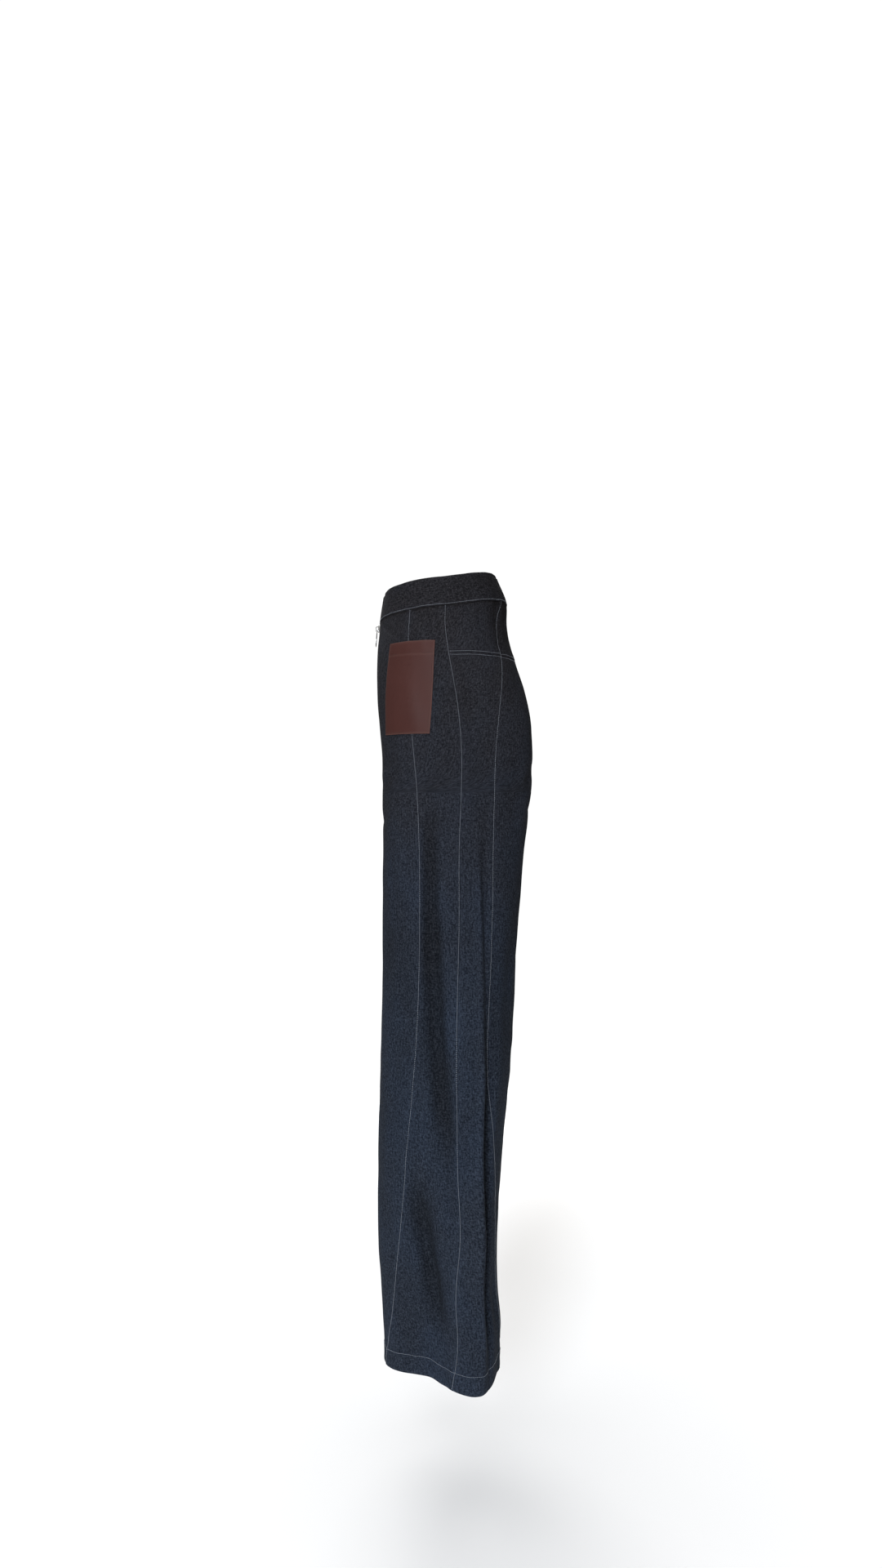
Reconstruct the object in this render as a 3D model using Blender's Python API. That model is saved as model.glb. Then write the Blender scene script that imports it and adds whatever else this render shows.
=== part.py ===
"""Barrel-leg jeans in the pose of wear: a hollow garment of sewn denim panels.

Metres, Z up. X runs to the wearer's left and Y to the back. The origin is the centre
of the waistband's ring, at half the waistband's height.
"""

from collections import namedtuple
from functools import lru_cache
import math

import bmesh
import bpy
from mathutils import Matrix, Vector
import numpy as np

# Lengths of the cut, from the waistband down
BAND_HEIGHT = 0.040
BAND_TOP = 0.0195
YOKE_DEPTH = 0.0665
RISE = 0.2915
INSEAM = 0.778
BAND_BOTTOM = BAND_TOP - BAND_HEIGHT
YOKE_SEAM = BAND_BOTTOM - YOKE_DEPTH
CROTCH = BAND_TOP - RISE
HEM = CROTCH - INSEAM

# Thicknesses and clearances
CLOTH = 0.0013
BAND_PROUD = 0.0008
BAND_THICKNESS = 0.0030
LEATHER = 0.0014
LEATHER_LIFT = 0.0006
SEAM_GAP = 0.0003

# How the garment hangs
BACK_LIFT = 0.019
BACK_LIFT_POWER = 1.3
FRONT_DIP = 0.008
FRONT_DIP_POWER = 1.2
CROTCH_CURVE = 0.088
HEM_DROP = 0.008
HEM_DROP_CENTRE = (0.190, 0.048)
HEM_DROP_REACH = 0.060
HEM_DROP_START = -0.850
CORNER_ANGLE = 30.0
CORNER_SPREAD = 25.0
FLAT_ANGLE = -30.0
FLAT_SPREAD = 40.0

# Sections of one half, level by level: where the cloth is in front, behind, towards the
# other leg and outwards, how square the ring is, and how far its outer back corner is
# pulled out and its outer front face pressed in.
Section = namedtuple("Section", "level front back inner outer square corner flat")
SECTIONS = (
    Section(0.0195, -0.0835, 0.0812, 0.000, 0.1250, 2.10, 0.000, 0.000),
    Section(-0.0205, -0.0890, 0.0960, 0.000, 0.1305, 2.10, 0.000, 0.000),
    Section(-0.0450, -0.0896, 0.0955, 0.000, 0.1375, 2.15, 0.000, 0.000),
    Section(-0.0870, -0.0904, 0.1048, 0.000, 0.1510, 2.20, 0.000, 0.000),
    Section(-0.1300, -0.0898, 0.1180, 0.000, 0.1640, 2.25, 0.000, 0.000),
    Section(-0.1750, -0.0858, 0.1254, 0.000, 0.1745, 2.30, 0.000, 0.000),
    Section(-0.2200, -0.0820, 0.1267, 0.000, 0.1810, 2.30, 0.000, 0.000),
    Section(-0.2720, -0.0808, 0.1234, 0.000, 0.1850, 2.30, 0.000, 0.000),
    Section(-0.3400, -0.0801, 0.1155, 0.008, 0.1920, 2.30, 0.003, 0.000),
    Section(-0.4400, -0.0804, 0.1078, 0.028, 0.2060, 2.30, 0.006, 0.003),
    Section(-0.5400, -0.0797, 0.0996, 0.042, 0.2180, 2.25, 0.009, 0.005),
    Section(-0.6400, -0.0811, 0.0923, 0.052, 0.2240, 2.25, 0.012, 0.007),
    Section(-0.7400, -0.0847, 0.0832, 0.056, 0.2200, 2.20, 0.015, 0.009),
    Section(-0.8400, -0.0861, 0.0778, 0.056, 0.2060, 2.20, 0.019, 0.012),
    Section(-0.9200, -0.0843, 0.0764, 0.053, 0.1920, 2.10, 0.022, 0.015),
    Section(-1.0000, -0.0801, 0.0812, 0.050, 0.1780, 2.10, 0.026, 0.018),
    Section(-1.0500, -0.0790, 0.0802, 0.048, 0.1720, 2.05, 0.028, 0.020),
)

# Seams that run down each half, as angles round the section in degrees: -90 is the
# foremost point, 0 the outermost, 90 the rearmost and 180 the inseam.
Seams = namedtuple("Seams", "level front side back")
SEAMS = (
    Seams(0.0195, -30.0, 2.0, 66.0),
    Seams(-0.0205, -30.0, 2.0, 62.0),
    Seams(-0.0450, -29.7, 2.0, 55.5),
    Seams(-0.0870, -30.2, 2.0, 48.5),
    Seams(-0.1300, -31.2, 2.0, 38.0),
    Seams(-0.1750, -32.2, 2.0, 29.8),
    Seams(-0.2200, -31.6, 2.2, 26.2),
    Seams(-0.2720, -28.8, 2.5, 26.4),
    Seams(-0.3400, -26.5, 3.0, 27.8),
    Seams(-0.4400, -25.5, 4.8, 29.5),
    Seams(-0.5400, -26.3, 6.2, 32.0),
    Seams(-0.6400, -29.4, 8.0, 36.5),
    Seams(-0.7400, -35.0, 12.4, 48.0),
    Seams(-0.8400, -42.4, 16.4, 61.0),
    Seams(-0.9200, -54.0, 14.2, 69.0),
    Seams(-1.0000, -69.0, 12.0, 73.0),
    Seams(-1.0500, -80.0, 8.6, 75.0),
)

# Largest folds: the half they are on (1 left, -1 right), the levels they run between,
# their angle at the top, middle and bottom, their half-width and their height, which is
# negative for a trough.
Fold = namedtuple("Fold", "half top bottom angle_top angle_mid angle_bottom width height")
FOLDS = (
    Fold(1, -0.20, -0.82, -15.0, -12.0, 14.0, 0.014, -0.0070),
    Fold(1, -0.74, -1.01, -31.0, -11.0, 0.0, 0.014, -0.0075),
    Fold(1, -0.34, -1.10, 19.0, 28.0, 27.0, 0.008, 0.0035),
    Fold(1, -0.36, -1.04, 27.0, 38.0, 40.0, 0.008, -0.0040),
    Fold(1, -0.01, -0.10, 54.0, 53.0, 50.0, 0.013, -0.0030),
    Fold(1, -0.29, -0.62, 96.0, 88.0, 70.0, 0.016, -0.0060),
    Fold(1, -0.34, -0.78, 138.0, 128.0, 118.0, 0.015, -0.0060),
    Fold(1, -0.55, -1.00, -118.0, -128.0, -120.0, 0.015, -0.0055),
    Fold(1, -0.80, -1.08, 150.0, 138.0, 128.0, 0.014, -0.0055),
    Fold(-1, -0.22, -0.78, -13.0, -13.0, 8.0, 0.015, -0.0065),
    Fold(-1, -0.72, -0.99, -34.0, -14.0, -3.0, 0.013, -0.0070),
    Fold(-1, -0.38, -1.10, 20.0, 27.0, 28.0, 0.009, 0.0033),
    Fold(-1, -0.40, -1.03, 28.0, 37.0, 41.0, 0.008, -0.0036),
    Fold(-1, -0.01, -0.09, 57.0, 54.0, 50.0, 0.012, -0.0026),
    Fold(-1, -0.30, -0.58, 92.0, 86.0, 72.0, 0.015, -0.0052),
    Fold(-1, -0.36, -0.74, 134.0, 127.0, 120.0, 0.016, -0.0056),
    Fold(-1, -0.58, -1.02, -114.0, -125.0, -121.0, 0.014, -0.0050),
    Fold(-1, -0.83, -1.08, 146.0, 137.0, 131.0, 0.015, -0.0050),
)
FOLD_END = 0.28

# Rows of faces down the leg, and the two of them at which the centre panels, which bend
# right round the leg, are built as a hip, a thigh and a shin piece
LEG_ROWS = 20
THIGH_LINE = CROTCH + (HEM - CROTCH) * 2 / LEG_ROWS
KNEE_LINE = CROTCH + (HEM - CROTCH) * 9 / LEG_ROWS

# Panels of each half: the lines they run between, the levels of their top and bottom,
# and how many columns of faces cross them.
Panel = namedtuple("Panel", "name start end top bottom columns")
PANELS = (
    Panel("front_centre_hip", "centre_front", "front", BAND_BOTTOM, THIGH_LINE, 10),
    Panel("front_centre_thigh", "centre_front", "front", THIGH_LINE, KNEE_LINE, 10),
    Panel("front_centre_shin", "centre_front", "front", KNEE_LINE, HEM, 10),
    Panel("front_side", "front", "side", BAND_BOTTOM, HEM, 5),
    Panel("yoke_side", "side", "back", BAND_BOTTOM, YOKE_SEAM, 5),
    Panel("yoke_centre", "back", "centre_back", BAND_BOTTOM, YOKE_SEAM, 6),
    Panel("back_side", "side", "back", YOKE_SEAM, HEM, 5),
    Panel("back_centre_hip", "back", "centre_back", YOKE_SEAM, THIGH_LINE, 10),
    Panel("back_centre_thigh", "back", "centre_back", THIGH_LINE, KNEE_LINE, 10),
    Panel("back_centre_shin", "back", "centre_back", KNEE_LINE, HEM, 10),
)

# How finely a ring is worked out, the angle that stands for the flat ends of an open ring,
# the step that slopes are measured over, and a length that keeps divisions from zero
RING_STEPS = 480
END_ANGLE = 91.0
SLOPE_STEP = 0.0010
TINY = 1e-9
TORSO_CENTRE = (0.0, 0.02, -0.16)

# Merging distance of corners, and the angle past which an edge shows as sharp
WELD = 1e-6
SHARP_ANGLE = math.radians(40.0)

# Patch pocket of leather: its corners as levels and angles
POCKET_TOP = -0.0700
POCKET_BOTTOM = -0.1960
POCKET_FRONT_TOP = -48.0
POCKET_FRONT_BOTTOM = -62.7
POCKET_BACK_TOP = -6.5
POCKET_BACK_BOTTOM = -17.0
POCKET_ROWS = 8
POCKET_COLUMNS = 9

# Zip at the centre front
ZIP_BOTTOM = -0.160
ZIP_OPENING = 0.0062
TAPE_WIDTH = 0.0130
TAPE = 0.0007
CHAIN_WIDTH = 0.0050
CHAIN_FRONT = 0.0009
CHAIN_BACK = 0.0013
STOP_LENGTH = 0.0030
SLIDER_CENTRE = -0.0275
SLIDER_LENGTH = 0.0100
SLIDER_WIDTH = 0.0080
SLIDER_PLATE = 0.0013
BRIDGE_LENGTH = 0.0072
BRIDGE_WIDTH = 0.0018
BRIDGE_WIRE = 0.0010
BRIDGE_ROOM = 0.0029
PULL_LENGTH = 0.0265
PULL_WIDTH = 0.0070
PULL_THICKNESS = 0.0012
PULL_HOLE_WIDTH = 0.0040
PULL_HOLE_LENGTH = 0.0052
PULL_END_STEPS = 8
PULL_PIVOT_OUT = 0.0042
PULL_TILT = math.radians(4.0)

# Rows of points: levels down to the crotch curve, then rows that fan out from the curve
# to even steps at the side, and even rows down the leg
HIP_LEVELS = (BAND_BOTTOM, -0.036, -0.052, -0.069, YOKE_SEAM, -0.107, -0.128, -0.147, ZIP_BOTTOM)
CROTCH_ROWS = 6

# Colours and finishes
Finish = namedtuple("Finish", "name colour roughness metallic")
DENIM = Finish("indigo_denim", (0.020, 0.025, 0.040), 0.90, 0.0)
BAND_DENIM = Finish("waistband_denim", (0.017, 0.019, 0.026), 0.90, 0.0)
BROWN_LEATHER = Finish("brown_leather", (0.080, 0.030, 0.024), 0.55, 0.0)
TAPE_CLOTH = Finish("zip_tape", (0.012, 0.013, 0.018), 0.90, 0.0)
NICKEL = Finish("polished_nickel", (0.62, 0.62, 0.63), 0.25, 1.0)


def clear_scene():
    for thing in list(bpy.data.objects):
        bpy.data.objects.remove(thing, do_unlink=True)


def material(finish):
    found = bpy.data.materials.get(finish.name)
    if found:
        return found
    made = bpy.data.materials.new(finish.name)
    made.use_nodes = True
    shader = made.node_tree.nodes["Principled BSDF"]
    shader.inputs["Base Color"].default_value = (*finish.colour, 1.0)
    shader.inputs["Roughness"].default_value = finish.roughness
    shader.inputs["Metallic"].default_value = finish.metallic
    made.diffuse_color = (*finish.colour, 1.0)
    return made


def smooth_step(start, end, value):
    share = np.clip((value - start) / (end - start), 0.0, 1.0)
    return share * share * (3.0 - 2.0 * share)


def read_table(rows, level):
    """Values of a table at a level, on a smooth curve through its rows."""
    table = np.array(rows)[::-1]
    levels = table[:, 0]
    values = table[:, 1:]
    level = min(max(level, levels[0]), levels[-1])
    row = min(int(np.searchsorted(levels, level, side="right")) - 1, len(levels) - 2)
    slopes = np.diff(values, axis=0) / np.diff(levels)[:, None]

    def slope_at(index):
        if index == 0:
            return slopes[0]
        if index == len(levels) - 1:
            return slopes[-1]
        below = levels[index] - levels[index - 1]
        above = levels[index + 1] - levels[index]
        return (slopes[index - 1] * above + slopes[index] * below) / (above + below)

    step = levels[row + 1] - levels[row]
    share = (level - levels[row]) / step
    start_weight = 2 * share**3 - 3 * share**2 + 1
    start_slope = (share**3 - 2 * share**2 + share) * step
    end_slope = (share**3 - share**2) * step
    return (
        start_weight * values[row]
        + (1 - start_weight) * values[row + 1]
        + start_slope * slope_at(row)
        + end_slope * slope_at(row + 1)
    )


def fold_height(half, level, angles, lengths):
    """How far the folds move the cloth out, along a ring at one level."""
    total = np.zeros_like(angles)
    for fold in FOLDS:
        if fold.half != half or not fold.bottom < level < fold.top:
            continue
        share = (fold.top - level) / (fold.top - fold.bottom)
        middle = 4 * share * (1 - share)
        angle = fold.angle_top * (1 - share) + fold.angle_bottom * share
        angle += middle * (fold.angle_mid - (fold.angle_top + fold.angle_bottom) / 2)
        ends = smooth_step(0, FOLD_END, share) * smooth_step(0, FOLD_END, 1 - share)
        distance = lengths - np.interp(angle, angles, lengths)
        total += fold.height * ends * np.exp(-((distance / fold.width) ** 2))
    return total


@lru_cache(maxsize=None)
def half_ring(half, level):
    """Angles, lengths along the cloth and points of one half's ring, front to back."""
    front, back, inner, outer, square, corner, flat = read_table(SECTIONS, level)
    middle = (front + back) / 2
    depth = (back - front) / 2
    fall = min(max((BAND_BOTTOM - level) / (BAND_BOTTOM - CROTCH), 0.0), 1.0)
    lobe = math.sin(fall * math.pi / 2)
    inner = 0.0 if level > CROTCH else max(inner, SEAM_GAP / 2)
    centre = inner + (outer - inner) / 2 * lobe
    rise = min(max((level - CROTCH) / CROTCH_CURVE, 0.0), 1.0)
    meeting = math.sqrt(rise * (2.0 - rise))
    cut = max((1.0 - meeting**square), 0.0) ** (1.0 / square)
    last_angle = 90.0
    if cut > 0.0 and centre > inner:
        last_angle = 180.0 - math.degrees(math.acos(min(cut ** (square / 2), 1.0)))
    angles = np.linspace(-last_angle, last_angle, RING_STEPS + 1)
    turns = np.radians(angles)
    inner_reach = (centre - inner) / max(cut, TINY)
    reach = np.where(np.abs(angles) <= 90.0, outer - centre, inner_reach)
    x = centre + reach * np.sign(np.cos(turns)) * np.abs(np.cos(turns)) ** (2 / square)
    y = middle + depth * np.sign(np.sin(turns)) * np.abs(np.sin(turns)) ** (2 / square)
    if last_angle == 90.0 and centre > 0.0:
        x = np.concatenate([[0.0], x, [0.0]])
        y = np.concatenate([[front], y, [back]])
        angles = np.concatenate([[-END_ANGLE], angles, [END_ANGLE]])
    bearing = np.degrees(np.arctan2(y - middle, x - centre))
    radius = np.hypot(x - centre, y - middle) + TINY
    push = corner * np.exp(-(((bearing - CORNER_ANGLE) / CORNER_SPREAD) ** 2))
    push -= flat * np.exp(-(((bearing - FLAT_ANGLE) / FLAT_SPREAD) ** 2))
    x, y = x + push * (x - centre) / radius, y + push * (y - middle) / radius
    lengths = np.concatenate([[0.0], np.cumsum(np.hypot(np.diff(x), np.diff(y)))])
    out = fold_height(half, level, angles, lengths)
    along_x = np.gradient(x, lengths + TINY * angles)
    along_y = np.gradient(y, lengths + TINY * angles)
    size = np.hypot(along_x, along_y) + TINY
    x, y = x + out * along_y / size, y - out * along_x / size
    to_back = np.clip((y - middle) / depth, 0.0, 1.0) ** BACK_LIFT_POWER
    to_front = np.clip((middle - y) / depth, 0.0, 1.0) ** FRONT_DIP_POWER
    tilt = BACK_LIFT * to_back - FRONT_DIP * to_front
    z = level + smooth_step(YOKE_SEAM, BAND_BOTTOM, level) * tilt
    away = (x - HEM_DROP_CENTRE[0]) ** 2 + (y - HEM_DROP_CENTRE[1]) ** 2
    z = z - HEM_DROP * smooth_step(HEM_DROP_START, HEM, level) * np.exp(-away / HEM_DROP_REACH**2)
    x = np.maximum(x, SEAM_GAP / 2)
    return angles, lengths, np.column_stack([x, y, z])


def seam_length(name, level, angles, lengths):
    """Where a seam crosses the ring, as a length from the ring's front end."""
    if name == "centre_front":
        return 0.0
    if name == "centre_back":
        return lengths[-1]
    angle = read_table(SEAMS, level)[Seams._fields.index(name) - 1]
    return float(np.interp(angle, angles, lengths))


def edge_gap(name, level):
    """Half the gap at a seam. The centre front stands open over the zip."""
    if name == "centre_front" and level >= ZIP_BOTTOM:
        return ZIP_OPENING / 2
    return SEAM_GAP / 2


def level_at(row, share):
    """Level of a row's point: a row runs from its level at the centre to its level outside."""
    centre_level, side_level = row
    return side_level + (centre_level - side_level) * share**2


def ring_point(half, level, place, column, nudge=0.0):
    """Point of a ring at the length that place gives for a column, nudged along it."""
    angles, lengths, points = half_ring(half, round(level, 6))
    at = place(level, angles, lengths)[column] + nudge
    if level <= CROTCH:
        at = at % lengths[-1]
    return np.array([np.interp(at, lengths, points[:, axis]) for axis in range(3)])


def outward_at(half, level, place, column, point):
    """Direction out of the cloth at a point, square to it."""
    above = level if abs(level - CROTCH) < SLOPE_STEP else level + SLOPE_STEP
    down = ring_point(half, level - SLOPE_STEP, place, column)
    down = down - ring_point(half, above, place, column)
    if point[0] < ZIP_OPENING and level > CROTCH:
        outward = np.array([0.0, down[2], -down[1]])
        if outward @ (point - TORSO_CENTRE) < 0.0:
            outward = -outward
    else:
        along = ring_point(half, level, place, column, SLOPE_STEP)
        along = along - ring_point(half, level, place, column, -SLOPE_STEP)
        outward = np.cross(down, along)
    return outward / np.linalg.norm(outward)


def cloth_grid(half, rows, place, centre_shares):
    """Points of the cloth's outer face and its outward directions, row by row.

    A row is a pair of levels, at the centre line and at the side, and centre_shares says
    for each column how near it is to the centre line, from 0 to 1.
    """
    points = np.zeros((len(rows), len(centre_shares), 3))
    directions = np.zeros_like(points)
    for index, row in enumerate(rows):
        for column, share in enumerate(centre_shares):
            level = level_at(row, share)
            point = ring_point(half, level, place, column)
            points[index, column] = point
            directions[index, column] = outward_at(half, level, place, column, point)
    return points, directions


def wall_object(name, outer, inner, finish, mirrored=False):
    """Closed wall between two grids of points."""
    rows, columns = outer.shape[:2]
    flip = np.array([-1.0 if mirrored else 1.0, 1.0, 1.0])
    outer, inner = outer * flip, inner * flip
    mesh = bmesh.new()
    front = [[mesh.verts.new(outer[row, column]) for column in range(columns)] for row in range(rows)]
    rear = [[mesh.verts.new(inner[row, column]) for column in range(columns)] for row in range(rows)]
    for row in range(rows - 1):
        for column in range(columns - 1):
            corners = [(row, column), (row + 1, column), (row + 1, column + 1), (row, column + 1)]
            falling = np.linalg.norm(outer[row, column] - outer[row + 1, column + 1])
            rising = np.linalg.norm(outer[row + 1, column] - outer[row, column + 1])
            if rising < falling:
                corners = corners[1:] + corners[:1]
            for half_face in (corners[:3], [corners[2], corners[3], corners[0]]):
                mesh.faces.new([front[r][c] for r, c in half_face])
                mesh.faces.new([rear[r][c] for r, c in reversed(half_face)])
    for row in range(rows - 1):
        mesh.faces.new([front[row][0], rear[row][0], rear[row + 1][0], front[row + 1][0]])
        mesh.faces.new([front[row + 1][-1], rear[row + 1][-1], rear[row][-1], front[row][-1]])
    for column in range(columns - 1):
        mesh.faces.new([front[0][column + 1], rear[0][column + 1], rear[0][column], front[0][column]])
        mesh.faces.new([front[-1][column], rear[-1][column], rear[-1][column + 1], front[-1][column + 1]])
    if mirrored:
        bmesh.ops.reverse_faces(mesh, faces=mesh.faces)
    data = bpy.data.meshes.new(name)
    mesh.to_mesh(data)
    mesh.free()
    return add_object(name, data, finish)


def add_object(name, data, finish):
    made = bpy.data.objects.new(name, data)
    made.data.materials.append(material(finish))
    collection = bpy.data.collections["barrel_leg_jeans"]
    collection.objects.link(made)
    if isinstance(data, bpy.types.Mesh):
        data.shade_smooth()
        data.set_sharp_from_angle(angle=SHARP_ANGLE)
    return made


def panel_rows(panel):
    """Levels of each row of a panel, at the centre line and at the side."""
    rows = [(level, level) for level in HIP_LEVELS]
    for step in range(CROTCH_ROWS + 1):
        share = step / CROTCH_ROWS
        on_curve = CROTCH + CROTCH_CURVE * (1.0 - math.sin(share * math.pi / 2))
        rows.append((on_curve, CROTCH + CROTCH_CURVE * (1.0 - share)))
    rows += [(CROTCH + (HEM - CROTCH) * (row + 1) / LEG_ROWS,) * 2 for row in range(LEG_ROWS)]
    rows = [row for row in rows if panel.bottom <= row[1] <= panel.top]
    rows[0] = (panel.top - SEAM_GAP / 2,) * 2
    if panel.bottom > HEM:
        rows[-1] = (panel.bottom + SEAM_GAP / 2,) * 2
    return rows


def panel_shares(panel):
    """How near each column of a panel is to the centre line, from 0 to 1."""
    across = np.linspace(0.0, 1.0, panel.columns + 1)
    if panel.start == "centre_front":
        return 1.0 - across
    if panel.end == "centre_back":
        return across
    return 0.0 * across


def panel_place(panel, gapped=True):
    """Lengths of a panel's columns along the ring, evenly between its two seams."""

    def place(level, angles, lengths):
        first = seam_length(panel.start, level, angles, lengths)
        last = seam_length(panel.end, level, angles, lengths)
        if gapped:
            first += edge_gap(panel.start, level)
            last -= edge_gap(panel.end, level)
        return np.linspace(first, last, panel.columns + 1)

    return place


def make_panel(panel, half):
    points, outward = cloth_grid(half, panel_rows(panel), panel_place(panel), panel_shares(panel))
    name = f"{panel.name}_{'left' if half > 0 else 'right'}"
    wall_object(name, points, points - CLOTH * outward, DENIM, mirrored=half < 0)


def make_waistband():
    """Folded strip whose two ends meet at the centre front. Its columns are the panels'."""
    levels = (BAND_TOP, (BAND_TOP + BAND_BOTTOM) / 2, BAND_BOTTOM + SEAM_GAP / 2)
    rows = [(level, level) for level in levels]
    below = [panel for panel in PANELS if panel.top == BAND_BOTTOM]

    def place(level, angles, lengths):
        runs = [panel_place(panel, gapped=False)(level, angles, lengths)[1:] for panel in below]
        return np.concatenate([[SEAM_GAP], *runs])

    columns = sum(panel.columns for panel in below) + 1
    points, outward = cloth_grid(1, rows, place, [0.0] * columns)
    points[:, -1, 0] = 0.0
    other = points[:, -2::-1] * [-1.0, 1.0, 1.0]
    other_outward = outward[:, -2::-1] * [-1.0, 1.0, 1.0]
    points = np.concatenate([points, other], axis=1)
    outward = np.concatenate([outward, other_outward], axis=1)
    outer = points + BAND_PROUD * outward
    inner = outer - BAND_THICKNESS * outward
    wall_object("waistband", outer, inner, BAND_DENIM)


def make_pocket(half):
    levels = np.linspace(POCKET_TOP, POCKET_BOTTOM, POCKET_ROWS + 1)

    def place(level, angles, lengths):
        share = (POCKET_TOP - level) / (POCKET_TOP - POCKET_BOTTOM)
        front = POCKET_FRONT_TOP + (POCKET_FRONT_BOTTOM - POCKET_FRONT_TOP) * share
        back = POCKET_BACK_TOP + (POCKET_BACK_BOTTOM - POCKET_BACK_TOP) * share
        first, last = np.interp([front, back], angles, lengths)
        return np.linspace(first, last, POCKET_COLUMNS + 1)

    rows = [(level, level) for level in levels]
    points, outward = cloth_grid(half, rows, place, [0.0] * (POCKET_COLUMNS + 1))
    under = points + LEATHER_LIFT * outward
    name = f"pocket_{'left' if half > 0 else 'right'}"
    wall_object(name, under + LEATHER * outward, under, BROWN_LEATHER, mirrored=half < 0)


def strip_on_front(name, levels, first, last, front, back, finish, mirrored=False):
    """Flat strip along the centre front, between two widths and two depths."""

    def place(level, angles, lengths):
        return [first, last]

    points, outward = cloth_grid(1, [(level, level) for level in levels], place, [0.0, 0.0])
    points[:, 0, 0] = first
    points[:, 1, 0] = last
    outer, inner = points + front * outward, points - back * outward
    if first == 0.0:
        outer = np.concatenate([outer[:, :0:-1] * [-1.0, 1.0, 1.0], outer[:, 1:]], axis=1)
        inner = np.concatenate([inner[:, :0:-1] * [-1.0, 1.0, 1.0], inner[:, 1:]], axis=1)
    wall_object(name, outer, inner, finish, mirrored)


def make_zip_run():
    """Tapes behind the cloth, the closed chain between its edges, and the bottom stop."""
    top = BAND_BOTTOM - 2 * SEAM_GAP
    tape_front = -(CLOTH + SEAM_GAP)
    levels = [top] + [level for level in HIP_LEVELS if level < top]
    for half, side in ((1, "left"), (-1, "right")):
        strip_on_front(f"zip_tape_{side}", levels, SEAM_GAP, TAPE_WIDTH, tape_front,
                       -tape_front + TAPE, TAPE_CLOTH, mirrored=half < 0)
    chain_end = ZIP_BOTTOM + STOP_LENGTH + 2 * SEAM_GAP
    chain_levels = levels[:-1] + [chain_end]
    strip_on_front("zip_chain", chain_levels, 0.0, CHAIN_WIDTH / 2, CHAIN_FRONT, CHAIN_BACK, NICKEL)
    stop_levels = [chain_end - SEAM_GAP, ZIP_BOTTOM + SEAM_GAP]
    strip_on_front("zip_stop", stop_levels, 0.0, CHAIN_WIDTH / 2, CHAIN_FRONT, CHAIN_BACK, NICKEL)


def front_frame(level):
    """Place on the centre front whose axes are across, outward and up the cloth."""
    below = half_ring(1, level - SLIDER_LENGTH / 2)[2][0]
    above = half_ring(1, level + SLIDER_LENGTH / 2)[2][0]
    up = Vector((0.0, above[1] - below[1], above[2] - below[2])).normalized()
    across = Vector((1.0, 0.0, 0.0))
    outward = up.cross(across)
    if outward.y > 0:
        outward.negate()
    origin = Vector((0.0, (above[1] + below[1]) / 2, (above[2] + below[2]) / 2))
    columns = Matrix((across, outward, up)).transposed()
    return Matrix.Translation(origin) @ columns.to_4x4()


def flat_outline(name, outlines, thickness):
    """Mesh of a plate in the XY plane from closed outlines; inner ones are holes."""
    curve = bpy.data.curves.new(name, "CURVE")
    curve.dimensions = "2D"
    curve.fill_mode = "BOTH"
    curve.extrude = thickness / 2
    for outline in outlines:
        spline = curve.splines.new("POLY")
        spline.points.add(len(outline) - 1)
        for point, (x, y) in zip(spline.points, outline):
            point.co = (x, y, 0.0, 1.0)
        spline.use_cyclic_u = True
    holder = bpy.data.objects.new(name, curve)
    bpy.context.scene.collection.objects.link(holder)
    evaluated = holder.evaluated_get(bpy.context.evaluated_depsgraph_get())
    data = bpy.data.meshes.new_from_object(evaluated)
    bpy.data.objects.remove(holder)
    mesh = bmesh.new()
    mesh.from_mesh(data)
    bmesh.ops.remove_doubles(mesh, verts=mesh.verts, dist=WELD)
    mesh.to_mesh(data)
    mesh.free()
    return data


def rectangle(left, right, bottom, top):
    return [(left, bottom), (right, bottom), (right, top), (left, top)]


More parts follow.
